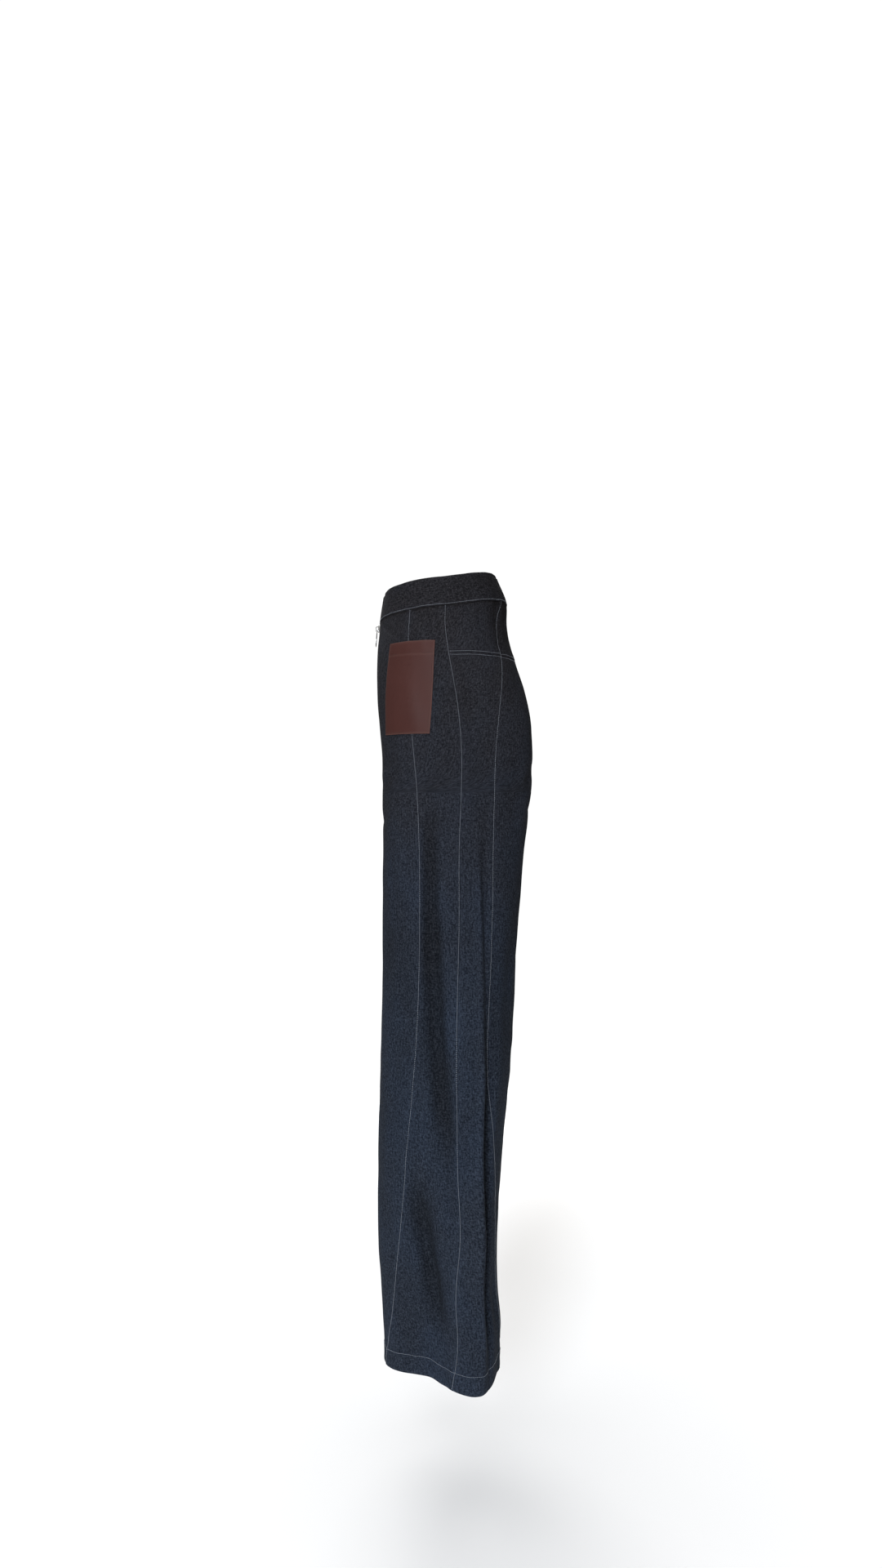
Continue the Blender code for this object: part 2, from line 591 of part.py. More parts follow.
def make_slider():
    """Plate over the chain with a wire bridge that holds the pull."""
    frame = front_frame(SLIDER_CENTRE)
    plate_back = CHAIN_FRONT + SEAM_GAP
    plate_front = plate_back + SLIDER_PLATE
    bridge_top = plate_front + BRIDGE_ROOM + BRIDGE_WIRE
    half_bridge = BRIDGE_LENGTH / 2
    profile = rectangle(-half_bridge, half_bridge, plate_front - SLIDER_PLATE / 2, bridge_top)
    room = rectangle(-half_bridge + BRIDGE_WIRE, half_bridge - BRIDGE_WIRE,
                     plate_front, bridge_top - BRIDGE_WIRE)
    bridge_mesh = flat_outline("zip_bridge", [profile, room], BRIDGE_WIDTH)
    stand = Matrix(((0, 0, 1, 0), (0, 1, 0, 0), (1, 0, 0, 0), (0, 0, 0, 1)))
    bridge_mesh.transform(frame @ stand)
    mesh = bmesh.new()
    mesh.from_mesh(bridge_mesh)
    bmesh.ops.recalc_face_normals(mesh, faces=mesh.faces)
    mesh.to_mesh(bridge_mesh)
    mesh.free()
    bpy.ops.mesh.primitive_cube_add(size=1.0)
    plate = bpy.context.object
    plate.name = "zip_slider"
    size = Matrix.Diagonal((SLIDER_WIDTH, SLIDER_PLATE, SLIDER_LENGTH, 1.0))
    middle = Matrix.Translation((0.0, (plate_back + plate_front) / 2, 0.0))
    plate.data.transform(frame @ middle @ size)
    mesh = bmesh.new()
    mesh.from_mesh(plate.data)
    bmesh.ops.recalc_face_normals(mesh, faces=mesh.faces)
    mesh.to_mesh(plate.data)
    mesh.free()
    plate.data.materials.append(material(NICKEL))
    for collection in list(plate.users_collection):
        collection.objects.unlink(plate)
    bpy.data.collections["barrel_leg_jeans"].objects.link(plate)
    bridge = bpy.data.objects.new("zip_bridge", bridge_mesh)
    bpy.data.collections["cutters"].objects.link(bridge)
    bridge.hide_render = True
    bridge.display_type = "WIRE"
    join = plate.modifiers.new("bridge", "BOOLEAN")
    join.operation = "UNION"
    join.object = bridge


def pull_pivot():
    frame = front_frame(SLIDER_CENTRE)
    return frame @ Vector((0.0, PULL_PIVOT_OUT, 0.0))


def make_pull():
    """Tab with a slot that goes round the bridge. Its origin is on the hinge's axis."""
    half_width = PULL_WIDTH / 2
    half_hole = PULL_HOLE_WIDTH / 2
    bar = PULL_THICKNESS / 2
    end = -PULL_LENGTH + half_width
    outline = [(half_width, bar), (-half_width, bar), (-half_width, end)]
    for step in range(1, PULL_END_STEPS):
        turn = math.pi + math.pi * step / PULL_END_STEPS
        outline.append((half_width * math.cos(turn), end + half_width * math.sin(turn)))
    outline.append((half_width, end))
    hole = rectangle(-half_hole, half_hole, -bar - PULL_HOLE_LENGTH, -bar)
    data = flat_outline("zip_pull", [outline, hole], PULL_THICKNESS)
    data.transform(Matrix.Rotation(math.pi / 2 - PULL_TILT, 4, "X"))
    mesh = bmesh.new()
    mesh.from_mesh(data)
    bmesh.ops.recalc_face_normals(mesh, faces=mesh.faces)
    mesh.to_mesh(data)
    mesh.free()
    pull = add_object("zip_pull", data, NICKEL)
    pull.location = pull_pivot()


def main():
    clear_scene()
    for name in ("barrel_leg_jeans", "cutters"):
        collection = bpy.data.collections.new(name)
        bpy.context.scene.collection.children.link(collection)
    make_waistband()
    for half in (1, -1):
        for panel in PANELS:
            make_panel(panel, half)
        make_pocket(half)
    make_zip_run()
    make_slider()
    make_pull()
    bpy.context.view_layer.update()
    print("pull hinge at", [round(value, 5) for value in pull_pivot()])


main()
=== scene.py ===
"""Looks of the barrel-leg jeans: denim shells, topstitching, leather pockets, zip and stage.

Metres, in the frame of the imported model: Z up, X to the wearer's left, Y to the back.
"""

from collections import namedtuple
from functools import lru_cache
import math

import bmesh
import bpy
from bpy.props import FloatProperty, FloatVectorProperty, PointerProperty
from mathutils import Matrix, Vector
import numpy as np


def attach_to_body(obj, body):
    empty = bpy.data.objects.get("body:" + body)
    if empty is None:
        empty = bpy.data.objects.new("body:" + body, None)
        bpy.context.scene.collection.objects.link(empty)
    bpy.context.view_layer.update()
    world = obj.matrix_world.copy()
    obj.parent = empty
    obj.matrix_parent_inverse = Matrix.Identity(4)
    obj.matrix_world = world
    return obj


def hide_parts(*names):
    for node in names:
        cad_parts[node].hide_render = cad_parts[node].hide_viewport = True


bl_info = {
    "name": "Barrel-leg jeans looks",
    "version": (1, 0, 0),
    "blender": (4, 5, 0),
    "location": "3D View > Sidebar > Jeans",
    "description": "Denim shells, topstitching, leather pockets, zip and stage",
    "category": "Object",
}

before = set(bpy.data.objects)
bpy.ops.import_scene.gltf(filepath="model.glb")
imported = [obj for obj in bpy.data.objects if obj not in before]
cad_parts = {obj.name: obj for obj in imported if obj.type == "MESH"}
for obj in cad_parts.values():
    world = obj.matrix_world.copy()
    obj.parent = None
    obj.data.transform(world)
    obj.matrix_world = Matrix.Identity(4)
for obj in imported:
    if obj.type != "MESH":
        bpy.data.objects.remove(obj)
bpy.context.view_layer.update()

# Lengths of the cut, from the waistband down
BAND_TOP = 0.0195
BAND_BOTTOM = -0.0205
YOKE_SEAM = -0.0870
CROTCH = -0.2720
HEM = -1.0500

# Thicknesses, gaps between the solids and between the shells, and what stands on the cloth
BAND_PROUD = 0.0008
BAND_THICKNESS = 0.0030
BAND_PITCH = 0.0022
BAND_INNER_PITCH = 0.0030
LEATHER = 0.0014
LEATHER_LIFT = 0.0006
LEATHER_ROLL = 0.0005
SEAM_GAP = 0.0003
SHELL_GAP = 0.00004

# How the garment hangs
BACK_LIFT = 0.019
BACK_LIFT_POWER = 1.3
FRONT_DIP = 0.008
FRONT_DIP_POWER = 1.2
CROTCH_CURVE = 0.088
HEM_DROP = 0.008
HEM_DROP_CENTRE = (0.190, 0.048)
HEM_DROP_REACH = 0.060
HEM_DROP_START = -0.850
CORNER_ANGLE = 30.0
CORNER_SPREAD = 25.0
FLAT_ANGLE = -30.0
FLAT_SPREAD = 40.0

# Sections of one half, level by level: where the cloth is in front, behind, towards the
# other leg and outwards, how square the ring is, and how far its outer back corner is
# pulled out and its outer front face pressed in.
Section = namedtuple("Section", "level front back inner outer square corner flat")
SECTIONS = [Section(*row) for row in (
    (0.0195, -0.0835, 0.0812, 0.000, 0.1250, 2.10, 0.000, 0.000),
    (-0.0205, -0.0890, 0.0960, 0.000, 0.1305, 2.10, 0.000, 0.000),
    (-0.0450, -0.0896, 0.0955, 0.000, 0.1375, 2.15, 0.000, 0.000),
    (-0.0870, -0.0904, 0.1048, 0.000, 0.1510, 2.20, 0.000, 0.000),
    (-0.1300, -0.0898, 0.1180, 0.000, 0.1640, 2.25, 0.000, 0.000),
    (-0.1750, -0.0858, 0.1254, 0.000, 0.1745, 2.30, 0.000, 0.000),
    (-0.2200, -0.0820, 0.1267, 0.000, 0.1810, 2.30, 0.000, 0.000),
    (-0.2720, -0.0808, 0.1234, 0.000, 0.1850, 2.30, 0.000, 0.000),
    (-0.3400, -0.0801, 0.1155, 0.008, 0.1920, 2.30, 0.003, 0.000),
    (-0.4400, -0.0804, 0.1078, 0.028, 0.2060, 2.30, 0.006, 0.003),
    (-0.5400, -0.0797, 0.0996, 0.042, 0.2180, 2.25, 0.009, 0.005),
    (-0.6400, -0.0811, 0.0923, 0.052, 0.2240, 2.25, 0.012, 0.007),
    (-0.7400, -0.0847, 0.0832, 0.056, 0.2200, 2.20, 0.015, 0.009),
    (-0.8400, -0.0861, 0.0778, 0.056, 0.2060, 2.20, 0.019, 0.012),
    (-0.9200, -0.0843, 0.0764, 0.053, 0.1920, 2.10, 0.022, 0.015),
    (-1.0000, -0.0801, 0.0812, 0.050, 0.1780, 2.10, 0.026, 0.018),
    (-1.0500, -0.0790, 0.0802, 0.048, 0.1720, 2.05, 0.028, 0.020),
)]

# Seams that run down each half, as angles round the section in degrees: -90 is the
# foremost point, 0 the outermost, 90 the rearmost and 180 the inseam.
Seams = namedtuple("Seams", "level front side back")
SEAMS = [Seams(*row) for row in (
    (0.0195, -30.0, 2.0, 66.0),
    (-0.0205, -30.0, 2.0, 62.0),
    (-0.0450, -29.7, 2.0, 55.5),
    (-0.0870, -30.2, 2.0, 48.5),
    (-0.1300, -31.2, 2.0, 38.0),
    (-0.1750, -32.2, 2.0, 29.8),
    (-0.2200, -31.6, 2.2, 26.2),
    (-0.2720, -28.8, 2.5, 26.4),
    (-0.3400, -26.5, 3.0, 27.8),
    (-0.4400, -25.5, 4.8, 29.5),
    (-0.5400, -26.3, 6.2, 32.0),
    (-0.6400, -29.4, 8.0, 36.5),
    (-0.7400, -35.0, 12.4, 48.0),
    (-0.8400, -42.4, 16.4, 61.0),
    (-0.9200, -54.0, 14.2, 69.0),
    (-1.0000, -69.0, 12.0, 73.0),
    (-1.0500, -80.0, 8.6, 75.0),
)]

# Largest folds: the half they are on (1 left, -1 right), the levels they run between,
# their angle at the top, middle and bottom, their half-width and their height, which is
# negative for a trough.
Fold = namedtuple("Fold", "half top bottom angle_top angle_mid angle_bottom width height")
FOLDS = [Fold(*row) for row in (
    (1, -0.20, -0.82, -15.0, -12.0, 14.0, 0.014, -0.0070),
    (1, -0.74, -1.01, -31.0, -11.0, 0.0, 0.014, -0.0075),
    (1, -0.34, -1.10, 19.0, 28.0, 27.0, 0.008, 0.0035),
    (1, -0.36, -1.04, 27.0, 38.0, 40.0, 0.008, -0.0040),
    (1, -0.01, -0.10, 54.0, 53.0, 50.0, 0.013, -0.0030),
    (1, -0.29, -0.62, 96.0, 88.0, 70.0, 0.016, -0.0060),
    (1, -0.34, -0.78, 138.0, 128.0, 118.0, 0.015, -0.0060),
    (1, -0.55, -1.00, -118.0, -128.0, -120.0, 0.015, -0.0055),
    (1, -0.80, -1.08, 150.0, 138.0, 128.0, 0.014, -0.0055),
    (-1, -0.22, -0.78, -13.0, -13.0, 8.0, 0.015, -0.0065),
    (-1, -0.72, -0.99, -34.0, -14.0, -3.0, 0.013, -0.0070),
    (-1, -0.38, -1.10, 20.0, 27.0, 28.0, 0.009, 0.0033),
    (-1, -0.40, -1.03, 28.0, 37.0, 41.0, 0.008, -0.0036),
    (-1, -0.01, -0.09, 57.0, 54.0, 50.0, 0.012, -0.0026),
    (-1, -0.30, -0.58, 92.0, 86.0, 72.0, 0.015, -0.0052),
    (-1, -0.36, -0.74, 134.0, 127.0, 120.0, 0.016, -0.0056),
    (-1, -0.58, -1.02, -114.0, -125.0, -121.0, 0.014, -0.0050),
    (-1, -0.83, -1.08, 146.0, 137.0, 131.0, 0.015, -0.0050),
)]
FOLD_END = 0.28

# Smaller creases of the left half, each through three places given as a level and an
# angle, with its half-width and height. The right half has them a little changed.
Crease = namedtuple("Crease", "level_1 angle_1 level_2 angle_2 level_3 angle_3 width height")
CREASES = [Crease(*row) for row in (
    # under the waistband and over the hips
    (-0.026, -74, -0.040, -58, -0.058, -40, 0.0060, -0.0010),
    (-0.024, -16, -0.046, -12, -0.072, -14, 0.0070, -0.0009),
    (-0.024, 26, -0.044, 30, -0.070, 27, 0.0060, -0.0010),
    (-0.026, 74, -0.046, 68, -0.074, 66, 0.0070, -0.0010),
    (-0.096, 70, -0.120, 60, -0.150, 52, 0.0090, -0.0009),
    (-0.100, 14, -0.140, 10, -0.185, 12, 0.0100, -0.0007),
    # from the crotch curve across the front
    (-0.214, -82, -0.206, -62, -0.186, -40, 0.0065, -0.0011),
    (-0.240, -86, -0.234, -66, -0.222, -42, 0.0070, -0.0012),
    (-0.262, -98, -0.262, -72, -0.256, -48, 0.0070, -0.0009),
    (-0.252, -94, -0.248, -72, -0.240, -52, 0.0055, 0.0007),
    (-0.290, -140, -0.300, -104, -0.330, -72, 0.0080, -0.0018),
    # under the seat
    (-0.236, 92, -0.250, 70, -0.284, 50, 0.0080, -0.0018),
    (-0.270, 112, -0.292, 84, -0.340, 60, 0.0100, -0.0016),
    (-0.300, 142, -0.330, 108, -0.384, 82, 0.0090, 0.0016),
    (-0.320, 150, -0.356, 120, -0.420, 96, 0.0090, -0.0016),
    # along the large folds: the edge and the valley before the back seam, and the soft
    # troughs between the front and side seams
    (-0.280, 14, -0.500, 20.5, -0.720, 27.5, 0.0040, 0.0028),
    (-0.280, 15, -0.500, 25.5, -0.720, 36, 0.0060, -0.0045),
    (-0.520, 21, -0.720, 27.5, -0.920, 31, 0.0040, 0.0030),
    (-0.520, 26.5, -0.720, 36.5, -0.920, 43, 0.0060, -0.0048),
    (-0.740, 28.5, -0.910, 31, -1.080, 26.5, 0.0040, 0.0028),
    (-0.740, 38, -0.910, 43, -1.080, 33, 0.0060, -0.0045),
    (-0.235, -15, -0.520, -12, -0.810, 10, 0.0110, -0.0042),
    (-0.760, -27, -0.880, -10, -1.010, -3, 0.0120, -0.0034),
    # thigh
    (-0.330, -62, -0.390, -50, -0.470, -44, 0.0110, -0.0012),
    (-0.300, -40, -0.350, -34, -0.420, -33, 0.0080, -0.0008),
    (-0.400, 14, -0.480, 12, -0.560, 16, 0.0070, -0.0008),
    (-0.420, -100, -0.500, -92, -0.580, -96, 0.0120, -0.0014),
    (-0.450, 60, -0.520, 56, -0.600, 62, 0.0110, -0.0014),
    (-0.440, 162, -0.500, 156, -0.570, 160, 0.0110, -0.0018),
    # behind and before the knee
    (-0.600, 66, -0.626, 92, -0.606, 124, 0.0120, -0.0010),
    (-0.628, 74, -0.650, 96, -0.640, 120, 0.0110, 0.0007),
    (-0.654, 70, -0.678, 98, -0.704, 126, 0.0120, -0.0010),
    (-0.590, -104, -0.618, -80, -0.604, -54, 0.0120, -0.0006),
    (-0.668, -98, -0.700, -74, -0.694, -52, 0.0120, -0.0006),
    (-0.640, -34, -0.700, -26, -0.760, -30, 0.0090, -0.0008),
    # calf and shin
    (-0.765, 8, -0.800, 9, -0.838, 13, 0.0060, -0.0018),
    (-0.780, -66, -0.840, -58, -0.900, -60, 0.0110, -0.0012),
    (-0.800, 88, -0.850, 96, -0.920, 92, 0.0110, -0.0016),
    (-0.850, -26, -0.900, -20, -0.950, -24, 0.0090, 0.0010),
    (-0.880, 2, -0.930, 4, -0.985, 0, 0.0080, -0.0010),
    (-0.860, -160, -0.910, -152, -0.970, -158, 0.0110, -0.0018),
    (-0.900, 54, -0.950, 58, -1.010, 56, 0.0080, -0.0012),
    # waves of the hem
    (-0.985, -108, -1.020, -104, -1.060, -100, 0.0140, -0.0018),
    (-0.975, -66, -1.015, -62, -1.060, -58, 0.0140, 0.0012),
    (-0.990, -22, -1.020, -20, -1.060, -20, 0.0130, -0.0010),
    (-0.985, 86, -1.020, 92, -1.060, 94, 0.0140, -0.0016),
    (-0.980, 122, -1.015, 120, -1.060, 118, 0.0140, 0.0014),
    (-0.985, 168, -1.020, 166, -1.060, 164, 0.0150, -0.0018),
)]
CREASE_END = 0.4
CREASE_REACH = 3.0
CREASE_STEPS = 25
CALM_WIDTH = 0.012

# Seeds: of the right half's creases, what the right half adds to the others, of the waves
# along the edges and of those all over
RIGHT_SEED = 11
RIGHT_SHIFT = 500
EDGE_SEED = 40
WAVES_SEED = 7

# Seam allowances: the seam, the side they lie on, and the pitch and seed of their puckers
ALLOWANCES = (("front", 1.0, 0.011, 1), ("side", -1.0, 0.012, 2), ("back", -1.0, 0.011, 3))
ALLOWANCE_EDGE = 0.0004
ALLOWANCE_END = (0.0070, 0.0105)
YOKE_ALLOWANCE_END = (0.008, 0.011)
PUCKER_REACH = 0.0065

# Waves: of the puckers, along the hem, the yoke and the band, and all over the cloth
WAVE_SHARES = (0.62, 0.85, 1.0, 1.27)
EDGE_PITCHES = (0.0083, 0.0112, 0.0139, 0.0210)
EDGE_SLANT = 0.045
WAVELENGTHS = (0.150, 0.110, 0.085, 0.066, 0.052, 0.041, 0.033, 0.026, 0.021)
WAVE_HEIGHT = 0.0035

# Panels of each half: the lines they run between and the levels of their top and bottom
Panel = namedtuple("Panel", "name start end top bottom")
PANELS = [Panel(*row) for row in (
    ("front_centre", "centre_front", "front", BAND_BOTTOM, HEM),
    ("front_side", "front", "side", BAND_BOTTOM, HEM),
    ("yoke_side", "side", "back", BAND_BOTTOM, YOKE_SEAM),
    ("yoke_centre", "back", "centre_back", BAND_BOTTOM, YOKE_SEAM),
    ("back_side", "side", "back", YOKE_SEAM, HEM),
    ("back_centre", "back", "centre_back", YOKE_SEAM, HEM),
)]

# Patch pocket of leather: its corners as levels and angles
POCKET_TOP = -0.0700
POCKET_BOTTOM = -0.1960
POCKET_FRONT_TOP = -48.0
POCKET_FRONT_BOTTOM = -62.7
POCKET_BACK_TOP = -6.5
POCKET_BACK_BOTTOM = -17.0
POCKET_HEM = 0.0190
POCKET_PITCH = 0.0022
POCKET_ROW = 0.0022
POCKET_HEM_ROW = 0.0015
BRIDGE_STEPS = (-0.006, -0.003, 0.0, 0.003, 0.006)

# Zip at the centre front
ZIP_BOTTOM = -0.160
ZIP_OPENING = 0.0062
CHAIN_FRONT = 0.0009
CHAIN_BACK = 0.0013
STOP_LENGTH = 0.0030
TOOTH_SIZE = (0.0034, 0.00105, 0.0018)
TOOTH_PITCH = 0.0012
TOOTH_SHIFT = 0.0007
SHARP_ANGLE = 0.6

# Rows of stitches: off the cloth, from a seam, from an edge or the band, on both sides of the
# yoke seam, from the zip's opening, and above the waistband's lower edge
ROW_LIFT = 0.00012
ROW_INSET = 0.0016
ROW_EDGE = 0.0012
YOKE_ROWS = (0.0023, -0.0023)
ZIP_ROW = 0.0022
BAND_ROW = 0.0020
LINE_STEP = 0.002

# Table of points of each half, and how finely the shells follow it
RING_STEPS = 480
LEVEL_STEP = 0.0005
LEVELS_PAST_HEM = 12
SHARES = 600
EDGE_STEPS = (0.0, 0.0003, 0.0007, 0.0013)
HEM_ROLL = 1.3
LEAST_AREA = 0.31
PAST_RING = 91.0
NUDGE = 1e-9
TINY = 1e-15

# Weave: the twill's slope and pitch, the warp's pitch, the heights between which the denim turns
# from the painted shade at the waist, darker and greyer, to the leg's colour, and the zip tape's zigzag
# and ribs
TWILL_SLOPE = 0.62
TWILL_PITCH = 0.00135
WARP_PITCH = 0.00072
WAIST_SHADE_LEVELS = (-0.02, -0.62)
TAPE_PITCH = 0.0022
TAPE_RIB = 0.0009
WHITE = (1.0, 1.0, 1.0)

# Painted shade darkens the hollows, and ridges are paler, partly rubbed and partly a painted highlight:
# the depth or height of the most, and its share, and how far the painted shadow under the band reaches
HOLLOW_SHADE_DEPTH = 0.0105
HOLLOW_SHADE_SHARE = 0.8
RIDGE_HEIGHT = 0.0016
RIDGE_SHARE = 0.35
UNDER_BAND_SHADOW_REACH = 0.0022

HALVES = ((1, "left"), (-1, "right"))

# Stage: the floor, where its painted glow starts to grow so that it fades into the white round it, the
# camera, the colour of the sky, the white behind, and the lights with their place, angle and colour
FLOOR = -1.240
FLOOR_RADIUS = 2.0
FADE_START = 1.35
CAMERA_PLACE = (1.660, 0.0, -0.262)
CAMERA_LENS = 26.006
SKY_COLOUR = (1.0, 0.95, 0.90, 1.0)
BACKDROP = 1.05
LIGHTS = (
    ("key", (3.0, -0.75, 1.2), 18.0, (0.94, 1.0, 1.08)),
    ("fill", (-2.4, -0.4, 1.7), 40.0, (1.0, 0.98, 0.95)),
    ("top", (-0.3, -0.5, 3.0), 60.0, WHITE),
)


# Form of the cloth


def smooth_step(start, end, value):
    share = np.clip((value - start) / (end - start), 0.0, 1.0)
    return share * share * (3.0 - 2.0 * share)


def bell(distance, reach):
    """One at no distance, and softly down to nothing on both sides."""
    return np.exp(-((distance / reach) ** 2))


def plateau(distance, start, end):
    """Steep rise at a seam that stays up over its allowance and ends softly."""
    rise = smooth_step(-ALLOWANCE_EDGE, ALLOWANCE_EDGE, distance)
    return rise * (1 - smooth_step(start, end, distance))


def through(share, first, middle, last):
    """Value at a share of a smooth run through three values."""
    bend = 2 * middle - (first + last) / 2
    return (1 - share) ** 2 * first + share**2 * last + 2 * share * (1 - share) * bend


def read_table(rows, level):
    """Values of a table at a level, on a smooth curve through its rows."""
    table = np.array(rows)[::-1]
    levels = table[:, 0]
    values = table[:, 1:]
    level = min(max(level, levels[0]), levels[-1])
    row = min(int(np.searchsorted(levels, level, side="right")) - 1, len(levels) - 2)
    slopes = np.diff(values, axis=0) / np.diff(levels)[:, None]

    def slope_at(index):
        if index == 0:
            return slopes[0]
        if index == len(levels) - 1:
            return slopes[-1]
        below = levels[index] - levels[index - 1]
        above = levels[index + 1] - levels[index]
        return (slopes[index - 1] * above + slopes[index] * below) / (above + below)

    step = levels[row + 1] - levels[row]
    share = (level - levels[row]) / step
    start_weight = 2 * share**3 - 3 * share**2 + 1
    start_slope = (share**3 - 2 * share**2 + share) * step
    end_slope = (share**3 - share**2) * step
    return (
        start_weight * values[row]
        + (1 - start_weight) * values[row + 1]
        + start_slope * slope_at(row)
        + end_slope * slope_at(row + 1)
    )


def fold_height(half, level, angles, lengths):
    """How far the largest folds move the cloth out, along a ring at one level."""
    total = np.zeros_like(angles)
    for fold in FOLDS:
        if fold.half != half or not fold.bottom < level < fold.top:
            continue
        share = (fold.top - level) / (fold.top - fold.bottom)
        angle = through(share, fold.angle_top, fold.angle_mid, fold.angle_bottom)
        ends = smooth_step(0, FOLD_END, share) * smooth_step(0, FOLD_END, 1 - share)
        distance = lengths - np.interp(angle, angles, lengths)
        total += fold.height * ends * bell(distance, fold.width)
    return total


def half_ring(half, level):
    """Angles, lengths along the cloth and points of one half's ring, front to back."""
    front, back, inner, outer, square, corner, flat = read_table(SECTIONS, level)
    middle = (front + back) / 2
    depth = (back - front) / 2
    fall = min(max((BAND_BOTTOM - level) / (BAND_BOTTOM - CROTCH), 0.0), 1.0)
    lobe = math.sin(fall * math.pi / 2)
    inner = 0.0 if level > CROTCH else max(inner, SEAM_GAP / 2)
    centre = inner + (outer - inner) / 2 * lobe
    rise = min(max((level - CROTCH) / CROTCH_CURVE, 0.0), 1.0)
    meeting = math.sqrt(rise * (2.0 - rise))
    cut = max((1.0 - meeting**square), 0.0) ** (1.0 / square)
    last_angle = 90.0
    if cut > 0.0 and centre > inner:
        last_angle = 180.0 - math.degrees(math.acos(min(cut ** (square / 2), 1.0)))
    angles = np.linspace(-last_angle, last_angle, RING_STEPS + 1)
    turns = np.radians(angles)
    inner_reach = (centre - inner) / max(cut, 1e-6)
    reach = np.where(np.abs(angles) <= 90.0, outer - centre, inner_reach)
    x = centre + reach * np.sign(np.cos(turns)) * np.abs(np.cos(turns)) ** (2 / square)
    y = middle + depth * np.sign(np.sin(turns)) * np.abs(np.sin(turns)) ** (2 / square)
    if last_angle == 90.0 and centre > 0.0:
        x = np.concatenate([[0.0], x, [0.0]])
        y = np.concatenate([[front], y, [back]])
        angles = np.concatenate([[-PAST_RING], angles, [PAST_RING]])
    bearing = np.degrees(np.arctan2(y - middle, x - centre))
    radius = np.hypot(x - centre, y - middle) + NUDGE
    push = corner * bell(bearing - CORNER_ANGLE, CORNER_SPREAD)
    push -= flat * bell(bearing - FLAT_ANGLE, FLAT_SPREAD)
    x, y = x + push * (x - centre) / radius, y + push * (y - middle) / radius
    lengths = np.concatenate([[0.0], np.cumsum(np.hypot(np.diff(x), np.diff(y)))])
    out = fold_height(half, level, angles, lengths)
    rising = lengths + NUDGE * angles
    along_x = np.gradient(x, rising)
    along_y = np.gradient(y, rising)
    size = np.hypot(along_x, along_y) + TINY
    x, y = x + out * along_y / size, y - out * along_x / size
    to_back = np.clip((y - middle) / depth, 0.0, 1.0) ** BACK_LIFT_POWER
    to_front = np.clip((middle - y) / depth, 0.0, 1.0) ** FRONT_DIP_POWER
    tilt = BACK_LIFT * to_back - FRONT_DIP * to_front
    z = level + smooth_step(YOKE_SEAM, BAND_BOTTOM, level) * tilt
    away = np.hypot(x - HEM_DROP_CENTRE[0], y - HEM_DROP_CENTRE[1])
    z = z - HEM_DROP * smooth_step(HEM_DROP_START, HEM, level) * bell(away, HEM_DROP_REACH)
    x = np.maximum(x, SHELL_GAP / 2)
    return angles, lengths, np.column_stack([x, y, z])


def creases_of(half):
    """The table of creases for a half. The right half's are like the left's, not equal."""
    if half > 0:
        return CREASES
    chance = np.random.default_rng(RIGHT_SEED)
    changed = []
    for crease in CREASES:
        level, angle = chance.uniform(-0.010, 0.010), chance.uniform(-4.0, 4.0)
        width, height = chance.uniform(0.85, 1.2), chance.uniform(0.7, 1.25)
        changed.append(Crease(
            crease.level_1 + level, crease.angle_1 + angle,
            crease.level_2 + level / 2, crease.angle_2 - angle / 2,
            crease.level_3 + level, crease.angle_3 + angle / 2,
            crease.width * width, crease.height * height,
        ))
    return changed


